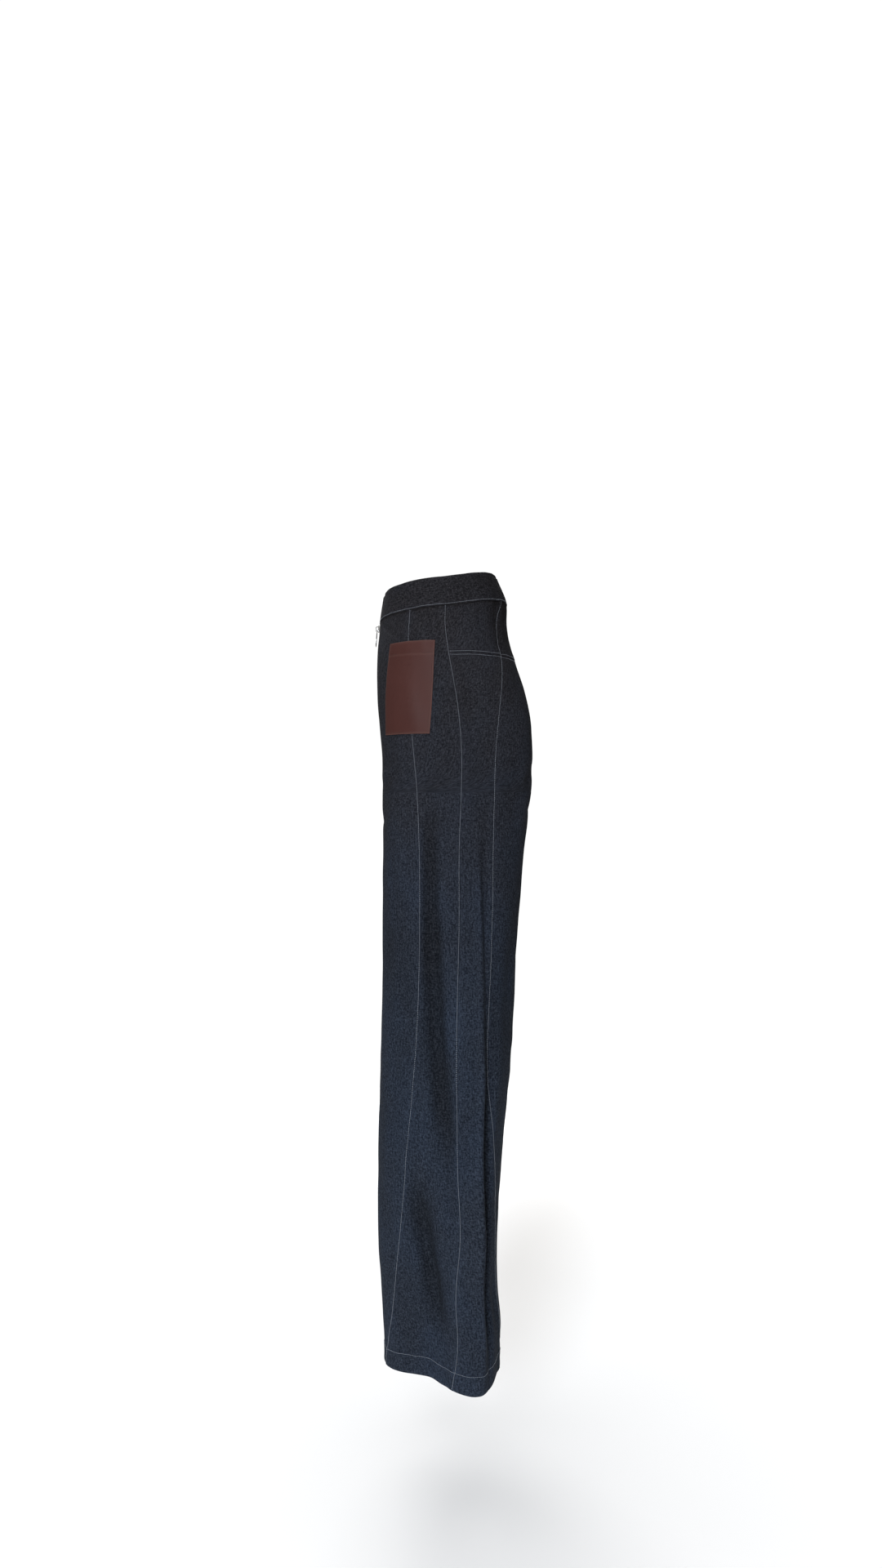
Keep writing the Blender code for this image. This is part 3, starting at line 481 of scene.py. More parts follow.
class Cloth:
    """One half's cloth as a fine table of points, by level and by share of its ring."""

    def __init__(self, half):
        sizes = bpy.context.scene.jeans_sizes
        self.half = half
        self.shift = 0 if half > 0 else RIGHT_SHIFT
        self.seam_rise = sizes.seam_rise
        self.pucker = sizes.pucker
        self.hem_depth = sizes.hem_depth
        count = round((BAND_TOP - HEM) / LEVEL_STEP) + 1 + LEVELS_PAST_HEM
        self.levels = np.round(BAND_TOP - LEVEL_STEP * np.arange(count), 6)
        self.shares = np.linspace(0.0, 1.0, SHARES + 1)
        self.points = np.zeros((count, SHARES + 1, 3))
        self.angles = np.zeros((count, SHARES + 1))
        self.girths = np.zeros(count)
        self.folds = np.zeros((count, SHARES + 1))
        self.seams = {name: np.zeros(count) for name in ("front", "side", "back")}
        for row, level in enumerate(self.levels):
            angles, lengths, points = half_ring(half, level)
            at = self.shares * lengths[-1]
            self.girths[row] = lengths[-1]
            self.angles[row] = np.interp(at, lengths, angles)
            self.folds[row] = np.interp(at, lengths, fold_height(half, level, angles, lengths))
            for axis in range(3):
                self.points[row, :, axis] = np.interp(at, lengths, points[:, axis])
            for name, angle in zip(self.seams, read_table(SEAMS, level)):
                self.seams[name][row] = np.interp(angle, angles, lengths) / lengths[-1]
        self.seams["centre_front"] = np.zeros(count)
        self.seams["centre_back"] = np.ones(count)
        self.arcs = self.shares[None, :] * self.girths[:, None]
        outermost = [np.interp(0.0, *row) for row in zip(self.angles, self.arcs)]
        self.across = self.arcs - np.array(outermost)[:, None]
        self.outward = self.directions()
        self.relief = sizes.crease_share * self.crease_height()
        self.relief += self.seam_height() + self.unevenness()
        self.relief *= self.calm()
        self.points += self.outward * self.relief[..., None]
        self.points[..., 0] = np.maximum(self.points[..., 0], SHELL_GAP / 2)
        self.outward = self.directions()

    def directions(self):
        """Directions out of the cloth over the whole table."""
        down = np.gradient(self.points, axis=0)
        along = np.gradient(self.points, axis=1)
        closed = self.levels <= CROTCH
        around = self.points[closed][:, 1] - self.points[closed][:, -2]
        along[closed, 0] = around
        along[closed, -1] = around
        outward = np.cross(down, along)
        outward[~closed, 0, 0] = 0.0
        outward[~closed, -1, 0] = 0.0
        return outward / (np.linalg.norm(outward, axis=2, keepdims=True) + TINY)

    def calm(self):
        """Keeps the centre lines and the inseam, where the ring's ends meet, free of relief."""
        from_end = np.minimum(self.arcs, self.girths[:, None] - self.arcs)
        return smooth_step(0.0, CALM_WIDTH, from_end)

    def crease_height(self):
        total = np.zeros_like(self.angles)
        for crease in creases_of(self.half):
            turn = np.linspace(0.0, 1.0, CREASE_STEPS)
            levels = through(turn, crease.level_1, crease.level_2, crease.level_3)
            angles = through(turn, crease.angle_1, crease.angle_2, crease.angle_3)
            rows = np.clip((BAND_TOP - levels) / LEVEL_STEP, 0, len(self.levels) - 1).astype(int)
            arcs = np.array([np.interp(angle, self.angles[row], self.across[row])
                             for angle, row in zip(angles, rows)])
            reach = CREASE_REACH * crease.width
            first = np.searchsorted(-self.levels, -(levels.max() + reach))
            last = np.searchsorted(-self.levels, -(levels.min() - reach))
            window_levels = self.levels[first:last, None]
            window_arcs = self.across[first:last]
            nearest = np.full(window_arcs.shape, 1e9)
            place = np.zeros(window_arcs.shape)
            for index in range(len(turn) - 1):
                run = np.array([levels[index + 1] - levels[index], arcs[index + 1] - arcs[index]])
                size = run @ run + 1e-18
                share = ((window_levels - levels[index]) * run[0]
                         + (window_arcs - arcs[index]) * run[1]) / size
                share = np.clip(share, 0.0, 1.0)
                away = np.hypot(window_levels - levels[index] - share * run[0],
                                window_arcs - arcs[index] - share * run[1])
                closer = away < nearest
                nearest = np.where(closer, away, nearest)
                place = np.where(closer, turn[index] + share * (turn[1] - turn[0]), place)
            ends = smooth_step(0, CREASE_END, place) * smooth_step(0, CREASE_END, 1 - place)
            total[first:last] += crease.height * ends * bell(nearest, crease.width)
        return total

    def wave(self, pitch, seed):
        """Uneven wave along the levels, about one crest for each pitch."""
        chance = np.random.default_rng(seed + self.shift)
        total = np.zeros(len(self.levels))
        for share in WAVE_SHARES:
            total += chance.uniform(0.5, 1.0) * np.sin(
                2 * math.pi * (self.levels / (pitch * share) + chance.uniform()))
        return total / 2.0

    def seam_height(self):
        """Seam allowances under the cloth, and the puckers that sewing leaves beside them."""
        total = np.zeros_like(self.angles)
        below_band = (self.levels < BAND_BOTTOM)[:, None] * 1.0
        for name, side, pitch, seed in ALLOWANCES:
            distance = (self.arcs - (self.seams[name] * self.girths)[:, None]) * side
            rise = plateau(distance, *ALLOWANCE_END)
            puckers = self.wave(pitch, seed)[:, None] * bell(distance - 0.002, PUCKER_REACH)
            total += below_band * (self.seam_rise * rise + self.pucker * puckers)
        chance = np.random.default_rng(EDGE_SEED + self.shift)
        waves = np.zeros_like(self.arcs)
        for pitch in EDGE_PITCHES:
            turns = self.across / pitch + chance.uniform() + self.levels[:, None] / EDGE_SLANT
            waves += np.sin(2 * math.pi * turns) / 2.4
        turned = self.levels - (HEM + self.hem_depth)
        near_hem = bell(turned, 0.010) * (turned < 0.03)
        total += (near_hem * 1.25 * self.pucker)[:, None] * waves
        total += (self.seam_rise * (1 - smooth_step(-0.0010, 0.0008, turned)))[:, None]
        to_yoke = self.levels - YOKE_SEAM
        side_seam = (self.seams["side"] * self.girths)[:, None]
        behind = smooth_step(-0.002, 0.002, self.arcs - side_seam)
        total += behind * (self.seam_rise * plateau(to_yoke, *YOKE_ALLOWANCE_END))[:, None]
        total += behind * (self.pucker * bell(to_yoke, 0.007))[:, None] * waves
        under_band = bell(self.levels - BAND_BOTTOM, 0.008)
        total += (0.9 * self.pucker * under_band)[:, None] * waves
        return total

    def unevenness(self):
        """Slight waves all over, as cloth that has been worn and pressed."""
        chance = np.random.default_rng(WAVES_SEED + self.shift)
        total = np.zeros_like(self.arcs)
        for wavelength in WAVELENGTHS:
            for _ in range(2):
                turn = chance.uniform(-0.5, 0.5) * math.pi
                phase = chance.uniform()
                across = math.cos(turn) * self.across
                down = 0.45 * math.sin(turn) * self.levels[:, None]
                turns = (across + down) / wavelength + phase
                total += WAVE_HEIGHT * wavelength * np.sin(2 * math.pi * turns)
        return total

    def read(self, table, levels, shares):
        """Values of a table at levels and shares, between its rows and columns."""
        row = np.clip((BAND_TOP - levels) / LEVEL_STEP, 0, len(self.levels) - 1.001)
        column = np.clip(shares * SHARES, 0, SHARES - 1e-6)
        above, before = row.astype(int), column.astype(int)
        row, column = (row - above)[..., None], (column - before)[..., None]
        table = table if table.ndim == 3 else table[..., None]
        top = table[above, before] * (1 - column) + table[above, before + 1] * column
        low = table[above + 1, before] * (1 - column) + table[above + 1, before + 1] * column
        return top * (1 - row) + low * row

    def girth(self, levels):
        return np.interp(-levels, -self.levels, self.girths)

    def seam(self, name, levels):
        """Share of the ring where a seam crosses it."""
        return np.interp(-levels, -self.levels, self.seams[name])

    def share_at(self, angle, levels):
        """Shares of the ring for angles, one for each level."""
        rows = np.clip(np.round((BAND_TOP - levels) / LEVEL_STEP), 0, len(self.levels) - 1)
        return np.array([np.interp(a, self.angles[int(row)], self.shares)
                         for a, row in zip(angle, rows)])

    def place(self, levels, shares, lift=0.0):
        """Points on the cloth or lifted off it, and the directions out of the cloth."""
        levels, shares = np.broadcast_arrays(levels, shares)
        outward = self.read(self.outward, levels, shares)
        outward /= np.linalg.norm(outward, axis=-1, keepdims=True)
        lift = np.broadcast_to(lift, levels.shape)[..., None]
        points = self.read(self.points, levels, shares) + lift * outward
        side = np.array([self.half, 1.0, 1.0])
        return points * side, outward * side


@lru_cache(maxsize=None)
def cloth(half):
    return Cloth(half)


# Shells and leather


def link(name, data, *finishes):
    """Object in the scene for a mesh, a lamp or a camera, with its finishes."""
    made = bpy.data.objects.new(name, data)
    bpy.context.scene.collection.objects.link(made)
    for finish in finishes:
        data.materials.append(finish)
    return made


def give_map(mesh, places):
    """Map of the cloth from each point's place across and along it, in metres."""
    loops = np.zeros(len(mesh.loops), np.int32)
    mesh.loops.foreach_get("vertex_index", loops)
    layer = mesh.uv_layers.new(name="cloth")
    layer.data.foreach_set("uv", places[loops].astype(np.float32).ravel())


def attach(mesh, name, kind, field, values):
    """Gives each point of a mesh a value or a direction."""
    layer = mesh.attributes.new(name, kind, "POINT")
    layer.data.foreach_set(field, values.astype(np.float32).ravel())


def mesh_of(build, name):
    """Plain mesh from one under construction, which is freed."""
    mesh = bpy.data.meshes.new(name)
    build.to_mesh(mesh)
    build.free()
    return mesh


def shell_mesh(name, outer, inner, cloth_map, wear, mirrored):
    """Closed shell between two grids of points, with its map, its values of rubbing and painted
    shading, and two finishes.
    """
    rows, columns = outer.shape[:2]
    count = rows * columns
    index = np.arange(count).reshape(rows, columns)
    quads = np.stack([index[:-1, :-1], index[1:, :-1], index[1:, 1:], index[:-1, 1:]], axis=-1)
    quads = quads.reshape(-1, 4)

    def strip(line):
        return np.stack([line[:-1], line[1:], line[1:] + count, line[:-1] + count], axis=-1)

    rim = np.concatenate([index[:, 0][::-1], index[0, 1:], index[1:, -1], index[-1, :-1][::-1]])
    edges = strip(rim)[:, ::-1]
    faces = np.concatenate([quads, quads[:, ::-1] + count, edges])
    if mirrored:
        faces = faces[:, ::-1]
    mesh = bpy.data.meshes.new(name)
    points = np.concatenate([outer.reshape(-1, 3), inner.reshape(-1, 3)])
    mesh.from_pydata(points.tolist(), [], faces.tolist())
    finishes = np.zeros(len(faces), np.int32)
    finishes[len(quads):2 * len(quads)] = 1
    mesh.polygons.foreach_set("material_index", finishes)
    give_map(mesh, np.concatenate([cloth_map.reshape(-1, 2)] * 2))
    attach(mesh, "wear", "FLOAT", "value", np.concatenate([wear.ravel()] * 2))
    mesh.shade_smooth()
    mesh.validate()
    return mesh


def spread(first, last, pitch):
    """Distances from one edge to the other, closer together beside both edges."""
    length = last - first
    inside = np.linspace(EDGE_STEPS[-1], length - EDGE_STEPS[-1],
                         max(int(round((length - 2 * EDGE_STEPS[-1]) / pitch)), 1) + 1)
    return first + np.concatenate([EDGE_STEPS[:-1], inside, length - np.array(EDGE_STEPS[-2::-1])])


def edge_gap(name, levels):
    """Half the gap at a seam. The centre front stands open over the zip."""
    if name != "centre_front":
        return np.full_like(levels, SHELL_GAP / 2)
    opening = smooth_step(ZIP_BOTTOM - 0.0015, ZIP_BOTTOM, levels)
    return SHELL_GAP / 2 + opening * (ZIP_OPENING - SHELL_GAP) / 2


def panel_grid(half, panel, pitch):
    """Levels and shares of a panel's points, with their distances from its edges."""
    surface = cloth(half)
    top = panel.top - SHELL_GAP / 2
    bottom = panel.bottom + (SHELL_GAP / 2 if panel.bottom > HEM else 0.0)
    side_levels = -spread(-top, -bottom, pitch)
    fan_top = CROTCH + CROTCH_CURVE
    share = np.clip((fan_top - side_levels) / CROTCH_CURVE, 0.0, 1.0)
    on_curve = CROTCH + CROTCH_CURVE * (1.0 - np.sin(share * math.pi / 2))
    in_fan = (side_levels < fan_top) & (side_levels > CROTCH)
    centre_levels = np.where(in_fan, on_curve, side_levels)
    run = surface.seam(panel.end, side_levels) - surface.seam(panel.start, side_levels)
    width = float(np.max(run * surface.girth(side_levels)))
    across = spread(0.0, width, pitch) / width
    centre_share = {"front_centre": 1.0 - across, "back_centre": across,
                    "yoke_centre": across}.get(panel.name, 0.0 * across)
    levels = side_levels[:, None] + (centre_levels - side_levels)[:, None] * centre_share**2
    girths = surface.girth(levels)
    first = surface.seam(panel.start, levels) * girths + edge_gap(panel.start, levels)
    last = surface.seam(panel.end, levels) * girths - edge_gap(panel.end, levels)
    widths = last - first
    along = first + widths * across
    to_edge = np.minimum(along - first, last - along)
    to_top = np.abs(side_levels - top)[:, None]
    return levels, along / girths, to_edge, to_top, along


def edge_roll(distance, radius):
    """How far the cloth sinks where it turns under, at a distance from its edge."""
    inside = np.clip(radius - distance, 0.0, radius)
    return radius - np.sqrt(radius**2 - inside**2)


def cad_nodes(panel, side):
    """Names of the solids that a panel's shell stands for."""
    if "centre" in panel.name and panel.bottom == HEM:
        return [f"{panel.name}_{length}_{side}" for length in ("hip", "thigh", "shin")]
    return [f"{panel.name}_{side}"]


def make_panel(half, side, panel):
    sizes = bpy.context.scene.jeans_sizes
    surface = cloth(half)
    levels, shares, to_edge, to_top, along = panel_grid(half, panel, sizes.mesh_pitch)
    to_bottom = np.abs(levels - panel.bottom)
    at_hem = panel.bottom == HEM
    hem_sunk = edge_roll(to_bottom, HEM_ROLL * sizes.cloth if at_hem else sizes.edge_radius)
    sunk = np.maximum(edge_roll(np.minimum(to_edge, to_top), sizes.edge_radius), hem_sunk)
    outer, outward = surface.place(levels, shares, -sunk)
    turned = 1.0 - smooth_step(-0.0006, 0.0006, levels - HEM - sizes.hem_depth)
    thickness = sizes.cloth * (1.0 + turned) - hem_sunk * at_hem
    inner = outer - (thickness - sunk)[..., None] * outward
    wear = np.exp(-to_edge / 0.0022) * 0.7
    wear += 0.5 * np.exp(-to_bottom / 0.004) * at_hem
    # Ridges paler: partly rubbed, partly a painted highlight
    ridge = surface.read(surface.relief, levels, shares)[..., 0]
    wear += np.clip(ridge / RIDGE_HEIGHT, 0.0, 1.0) * RIDGE_SHARE
    # Painted shade: the hollows of the creases and folds are darker
    hollow = surface.read(surface.relief + surface.folds, levels, shares)[..., 0]
    wear -= np.clip(-hollow / HOLLOW_SHADE_DEPTH, 0.0, 1.0) * HOLLOW_SHADE_SHARE
    # Painted shadow: a dark line on the cloth just under the waistband
    wear -= np.exp(-np.maximum(BAND_BOTTOM - levels, 0.0) / UNDER_BAND_SHADOW_REACH)
    cloth_map = np.stack([along, levels], axis=-1)
    name = f"{panel.name}_{side}"
    wear = np.clip(wear, -1, 1)
    mesh = shell_mesh(f"{name}_shell", outer, inner, cloth_map, wear, half < 0)
    made = link(f"{name}_shell", mesh, denim("indigo_denim"), denim_back())
    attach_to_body(made, "garment")
    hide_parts(*cad_nodes(panel, side))
    rows = np.linalg.norm(np.diff(outer, axis=1), axis=2).sum(axis=1)
    columns = np.linalg.norm(np.diff(outer, axis=0), axis=2).sum(axis=0)
    steps = np.cross(outer[1:, :-1] - outer[:-1, :-1], outer[:-1, 1:] - outer[:-1, :-1])
    area = float(np.linalg.norm(steps, axis=2).sum())
    width, length = float(rows.max()), float(columns.mean())
    area = min(max(area, LEAST_AREA * width * length), width * length)
    return name, width, length, area


def make_waistband():
    """Folded strip round the waist, open at the centre front, with a rounded top fold."""
    sizes = bpy.context.scene.jeans_sizes
    bottom = BAND_BOTTOM + SHELL_GAP / 2
    corner = sizes.edge_radius
    bend = BAND_THICKNESS / 2
    outer_depth, inner_depth = BAND_PROUD, BAND_PROUD - BAND_THICKNESS
    profile = []
    for turn in np.linspace(0.0, math.pi / 2, 4):
        profile.append((bottom + corner * (1 - math.sin(turn)),
                        outer_depth - corner * (1 - math.cos(turn))))
    profile = profile[::-1]
    for level in np.arange(bottom + corner + 0.0015, BAND_TOP - bend, BAND_PITCH):
        profile.append((level, outer_depth))
    for turn in np.linspace(0.0, math.pi, 9):
        profile.append((BAND_TOP - bend + bend * math.sin(turn),
                        outer_depth - bend + bend * math.cos(turn)))
    for level in np.arange(BAND_TOP - bend - BAND_PITCH, bottom + corner, -BAND_INNER_PITCH):
        profile.append((level, inner_depth))
    profile.append((bottom + corner, inner_depth))
    profile.append((bottom, inner_depth + corner))
    levels = np.array([level for level, _ in profile])[None, :]
    depths = np.array([depth for _, depth in profile])[None, :]
    sides = []
    for half, _ in HALVES:
        surface = cloth(half)
        girth = float(surface.girth(np.array([0.0]))[0])
        arcs = spread(SEAM_GAP / 2, girth, sizes.mesh_pitch)
        ends = edge_roll(arcs - arcs[0], corner)[:, None] * np.sign(depths + 0.0007)
        points, _ = surface.place(levels, (arcs / girth)[:, None], depths - ends)
        sides.append((points, arcs))
    left, right = sides[0][0], sides[1][0]
    left[-1] = (left[-1] + right[-1]) / 2
    left[-1, :, 0] = 0.0
    points = np.concatenate([left, right[-2::-1]])
    arcs = np.concatenate([sides[0][1], 2 * sides[0][1][-1] - sides[1][1][-2::-1]])
    columns, around = points.shape[:2]
    index = np.arange(columns * around).reshape(columns, around)
    after = np.roll(index, -1, axis=1)
    quads = np.stack([index[:-1], index[1:], after[1:], after[:-1]], axis=-1).reshape(-1, 4)
    faces = quads.tolist() + [index[0].tolist(), index[-1][::-1].tolist()]
    mesh = bpy.data.meshes.new("waistband_shell")
    mesh.from_pydata(points.reshape(-1, 3).tolist(), [], faces)
    run = np.concatenate([[0.0], np.cumsum(np.linalg.norm(np.diff(points[0], axis=0), axis=1))])
    flat = np.zeros((columns, around))
    corners = np.stack([run + flat, arcs[:, None] + flat], axis=-1).reshape(-1, 2)
    give_map(mesh, corners)
    wear = bell(levels[0] - BAND_TOP, 0.0016) * 0.8
    wear += np.exp(-(levels[0] - bottom) / 0.0012) * 0.5
    attach(mesh, "wear", "FLOAT", "value", np.tile(np.clip(wear, 0, 1), columns))
    mesh.shade_smooth()
    mesh.validate()
    made = link("waistband_shell", mesh, denim("waistband_denim"))
    mends = bmesh.new()
    mends.from_mesh(mesh)
    bmesh.ops.recalc_face_normals(mends, faces=mends.faces)
    mends.to_mesh(mesh)
    mends.free()
    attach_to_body(made, "garment")
    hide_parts("waistband")


def pocket_shares(surface, levels):
    """Shares of the ring at the pocket's front and back edges."""
    down = np.clip((POCKET_TOP - levels) / (POCKET_TOP - POCKET_BOTTOM), 0.0, 1.0)
    front = POCKET_FRONT_TOP + (POCKET_FRONT_BOTTOM - POCKET_FRONT_TOP) * down
    back = POCKET_BACK_TOP + (POCKET_BACK_BOTTOM - POCKET_BACK_TOP) * down
    return surface.share_at(front, levels), surface.share_at(back, levels)


def bridged(surface, levels, shares, lift):
    """Points off the cloth, taken evenly over a short width so that seams show less."""
    girths = surface.girth(np.broadcast_to(levels, shares.shape))
    near = [surface.place(levels, shares + away / girths, lift)[0] for away in BRIDGE_STEPS]
    return np.mean(near, axis=0)


def make_pocket(half, side):
    """Leather patch with a turned top, a little hollow over the cloth and thin cut edges."""
    surface = cloth(half)
    levels = -spread(-POCKET_TOP, -POCKET_BOTTOM, POCKET_PITCH)
    first, last = pocket_shares(surface, levels)
    girths = surface.girth(levels)
    width = float(np.max((last - first) * girths))
    across = spread(0.0, width, POCKET_PITCH) / width
    shares = first[:, None] + (last - first)[:, None] * across[None, :]
    flat = np.zeros(shares.shape)
    down = (POCKET_TOP - levels)[:, None] + flat
    low = (levels - POCKET_BOTTOM)[:, None] + flat
    beside = np.minimum(across, 1 - across) * width + flat
    belly = smooth_step(0.0, 0.030, beside) * smooth_step(0.0, 0.040, low)
    lift = LEATHER_LIFT + 0.0011 * belly * (1.0 - 0.4 * smooth_step(0.0, 0.090, low - 0.02))
    slack = bell(down - 0.004, 0.014) * smooth_step(0.0, 0.020, beside)
    lift = lift + 0.0010 * slack
    turned = 1.0 - smooth_step(POCKET_HEM - 0.0006, POCKET_HEM + 0.0008, down)
    thickness = LEATHER + 0.0005 * turned
    hem_groove = 0.0004 * bell(down - POCKET_HEM + POCKET_HEM_ROW, 0.0007)
    sewn = np.minimum(beside, low)
    sewn_groove = 0.00022 * bell(sewn - POCKET_ROW, 0.0008)
    roll = edge_roll(np.minimum(sewn, down), LEATHER_ROLL)
    under = bridged(surface, levels[:, None], shares, lift)
    top_lift = lift + thickness - hem_groove - sewn_groove - roll
    outer = bridged(surface, levels[:, None], shares, top_lift)
    edge = np.minimum(sewn, down)
    wear = np.exp(-edge / 0.0011) + 0.35 * bell(down - POCKET_HEM, 0.0012)
    wear = np.clip(wear, 0, 1)
    cloth_map = np.stack([shares * girths[:, None], levels[:, None] + flat], axis=-1)
    mesh = shell_mesh(f"pocket_{side}_leather", outer, under, cloth_map, wear, half < 0)
    made = link(f"pocket_{side}_leather", mesh, leather("brown_leather"), leather("flesh_side"))
    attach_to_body(made, "garment")
    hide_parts(f"pocket_{side}")


# Stitches and teeth


class Tree:
    """Node tree under construction: nodes come from one method, arithmetic from sockets."""

    def __init__(self, tree):
        self.tree = tree

    def add(self, kind, settings=(), sockets=(), output=0):
        made = self.tree.nodes.new(kind)
        for name, value in dict(settings).items():
            setattr(made, name, value)
        for key, value in dict(sockets).items():
            self.feed(made.inputs[key], value)
        if output is None:
            return made
        return Wire(self, made.outputs[output])

    def feed(self, socket, value):
        if isinstance(value, Wire):
            self.tree.links.new(value.socket, socket)
        else:
            socket.default_value = value

    def maths(self, operation, *values):
        return self.add("ShaderNodeMath", {"operation": operation}, enumerate(values))


class Wire:
    """A node's output that takes part in Python's arithmetic."""

    def __init__(self, tree, socket):
        self.tree = tree
        self.socket = socket

    def __add__(self, other):
        return self.tree.maths("ADD", self, other)

    def __radd__(self, other):
        return self.tree.maths("ADD", other, self)

    def __sub__(self, other):
        return self.tree.maths("SUBTRACT", self, other)

    def __mul__(self, other):
        return self.tree.maths("MULTIPLY", self, other)


def line_tree(name, *inputs):
    """Tree with points evenly along lines: gives it, its inputs, the points and directions."""
    group = bpy.data.node_groups.new(name, "GeometryNodeTree")
    group.interface.new_socket(name="Geometry", in_out="OUTPUT", socket_type="NodeSocketGeometry")
    every = (("Geometry", "NodeSocketGeometry"), ("Pitch", "NodeSocketFloat"), *inputs,
             ("Finish", "NodeSocketMaterial"))
    for label, kind in every:
        group.interface.new_socket(name=label, in_out="INPUT", socket_type=kind)
    tree = Tree(group)
    start = tree.add("NodeGroupInput", output=None)
    given = {socket.name: Wire(tree, socket) for socket in start.outputs if socket.name}
    curve = tree.add("GeometryNodeMeshToCurve", (), {"Mesh": given["Geometry"]})
    even = tree.add("GeometryNodeResampleCurve", {"mode": "LENGTH"},
                    {"Curve": curve, "Length": given["Pitch"]})
    outward = tree.add("GeometryNodeInputNamedAttribute", {"data_type": "FLOAT_VECTOR"},
                       {"Name": "outward"})
    return tree, given, even, outward


def set_along(tree, given, points, outward, sideways, piece, size=(1.0, 1.0, 1.0)):
    """Ends a tree: a piece on each point, turned outwards, as plain faces in one finish."""
    turn = tree.add("FunctionNodeAxesToRotation", {"primary_axis": "Z", "secondary_axis": "X"},
                    {"Primary Axis": outward, "Secondary Axis": sideways})
    pieces = tree.add("GeometryNodeInstanceOnPoints", (), {
        "Points": points, "Instance": piece, "Rotation": turn, "Scale": size})
    plain = tree.add("GeometryNodeRealizeInstances", (), {"Geometry": pieces})
    shown = tree.add("GeometryNodeSetMaterial", (), {"Geometry": plain, "Material": given["Finish"]})
    tree.add("NodeGroupOutput", (), {0: shown}, output=None)
    return tree.tree


@lru_cache(maxsize=None)
def stitch_tree():
    """Rows of stitches along lines, each stitch a flattened bead that lies on the cloth."""
    tree, given, even, outward = line_tree(
        "stitch_row", ("Stitch length", "NodeSocketFloat"), ("Thread width", "NodeSocketFloat"),
        ("Seed", "NodeSocketInt"))
    bead = tree.add("GeometryNodeMeshUVSphere", (), {"Segments": 6, "Rings": 4, "Radius": 0.5})
    vary = tree.add("FunctionNodeRandomValue", {"data_type": "FLOAT"},
                    {2: 0.90, 3: 1.06, "Seed": given["Seed"]}, output=1)
    width = given["Thread width"]
    size = tree.add("ShaderNodeCombineXYZ", (), {
        "X": given["Stitch length"] * vary, "Y": width, "Z": width * 0.8})
    tangent = tree.add("GeometryNodeInputTangent")
    return set_along(tree, given, even, outward, tangent, bead, size)


@lru_cache(maxsize=None)
def tooth_tree():
    """Teeth of a closed zip, set to the left and right of the line by turns."""
    tree, given, even, outward = line_tree(
        "zip_teeth", ("Tooth", "NodeSocketObject"), ("Shift", "NodeSocketFloat"))
    side = tree.maths("MODULO", tree.add("GeometryNodeInputIndex"), 2.0) * 2.0 - 1.0
    offset = tree.add("ShaderNodeCombineXYZ", (), {"X": side * given["Shift"], "Y": 0.0, "Z": 0.0})
    apart = tree.add("GeometryNodeSetPosition", (), {"Geometry": even, "Offset": offset})
    tooth = tree.add("GeometryNodeObjectInfo", {"transform_space": "ORIGINAL"},
                     {"Object": given["Tooth"]}, output="Geometry")
    return set_along(tree, given, apart, outward, (1.0, 0.0, 0.0), tooth)


def grown(name, lines, tree, values):
    """Plain mesh that a tree makes along lines, each a pair of points and directions."""
    mesh = bpy.data.meshes.new(f"{name}_lines")
    points = np.concatenate([line for line, _ in lines])
    outward = np.concatenate([directions for _, directions in lines])
    edges, start = [], 0
    for line, _ in lines:
        edges += [(start + step, start + step + 1) for step in range(len(line) - 1)]
        start += len(line)
    mesh.from_pydata(points.tolist(), edges, [])
    attach(mesh, "outward", "FLOAT_VECTOR", "vector", outward)
    holder = link(f"{name}_lines", mesh)
    modifier = holder.modifiers.new(tree.name, "NODES")
    modifier.node_group = tree
    for item in tree.interface.items_tree:
        if item.in_out == "INPUT" and item.name in values:
            modifier[item.identifier] = values[item.name]
    ready = holder.evaluated_get(bpy.context.evaluated_depsgraph_get())
    result = bpy.data.meshes.new_from_object(ready)
    holder.modifiers.remove(modifier)
    bpy.data.objects.remove(holder)
    if not len(result.polygons):
        raise RuntimeError(f"{name}: the tree made nothing")
    result.shade_smooth()
    result.name = name
    return link(name, result)


def seam_line(half, name, offset, top, bottom, lift=0.0):
    """Line down the cloth beside a seam."""
    surface = cloth(half)
    levels = np.linspace(top, bottom, max(int((top - bottom) / LINE_STEP), 2) + 1)
    shares = surface.seam(name, levels) + offset / surface.girth(levels)
    return surface.place(levels, shares, lift)


def level_line(half, level, first, last, lift=0.0):
    """Line round the cloth at one level, between two shares of the ring."""
    surface = cloth(half)
    girth = float(surface.girth(np.array([level]))[0])
    shares = np.linspace(first, last, max(int((last - first) * girth / LINE_STEP), 2) + 1)
    return surface.place(np.full(len(shares), level), shares, lift)


def row_of_stitches(name, lines, seed, finish, share=1.0):
    sizes = bpy.context.scene.jeans_sizes
    made = grown(name, lines, stitch_tree(), {
        "Pitch": sizes.stitch_pitch * share, "Stitch length": sizes.stitch_length * share,
        "Thread width": sizes.thread_width, "Seed": seed, "Finish": finish})
    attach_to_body(made, "garment")


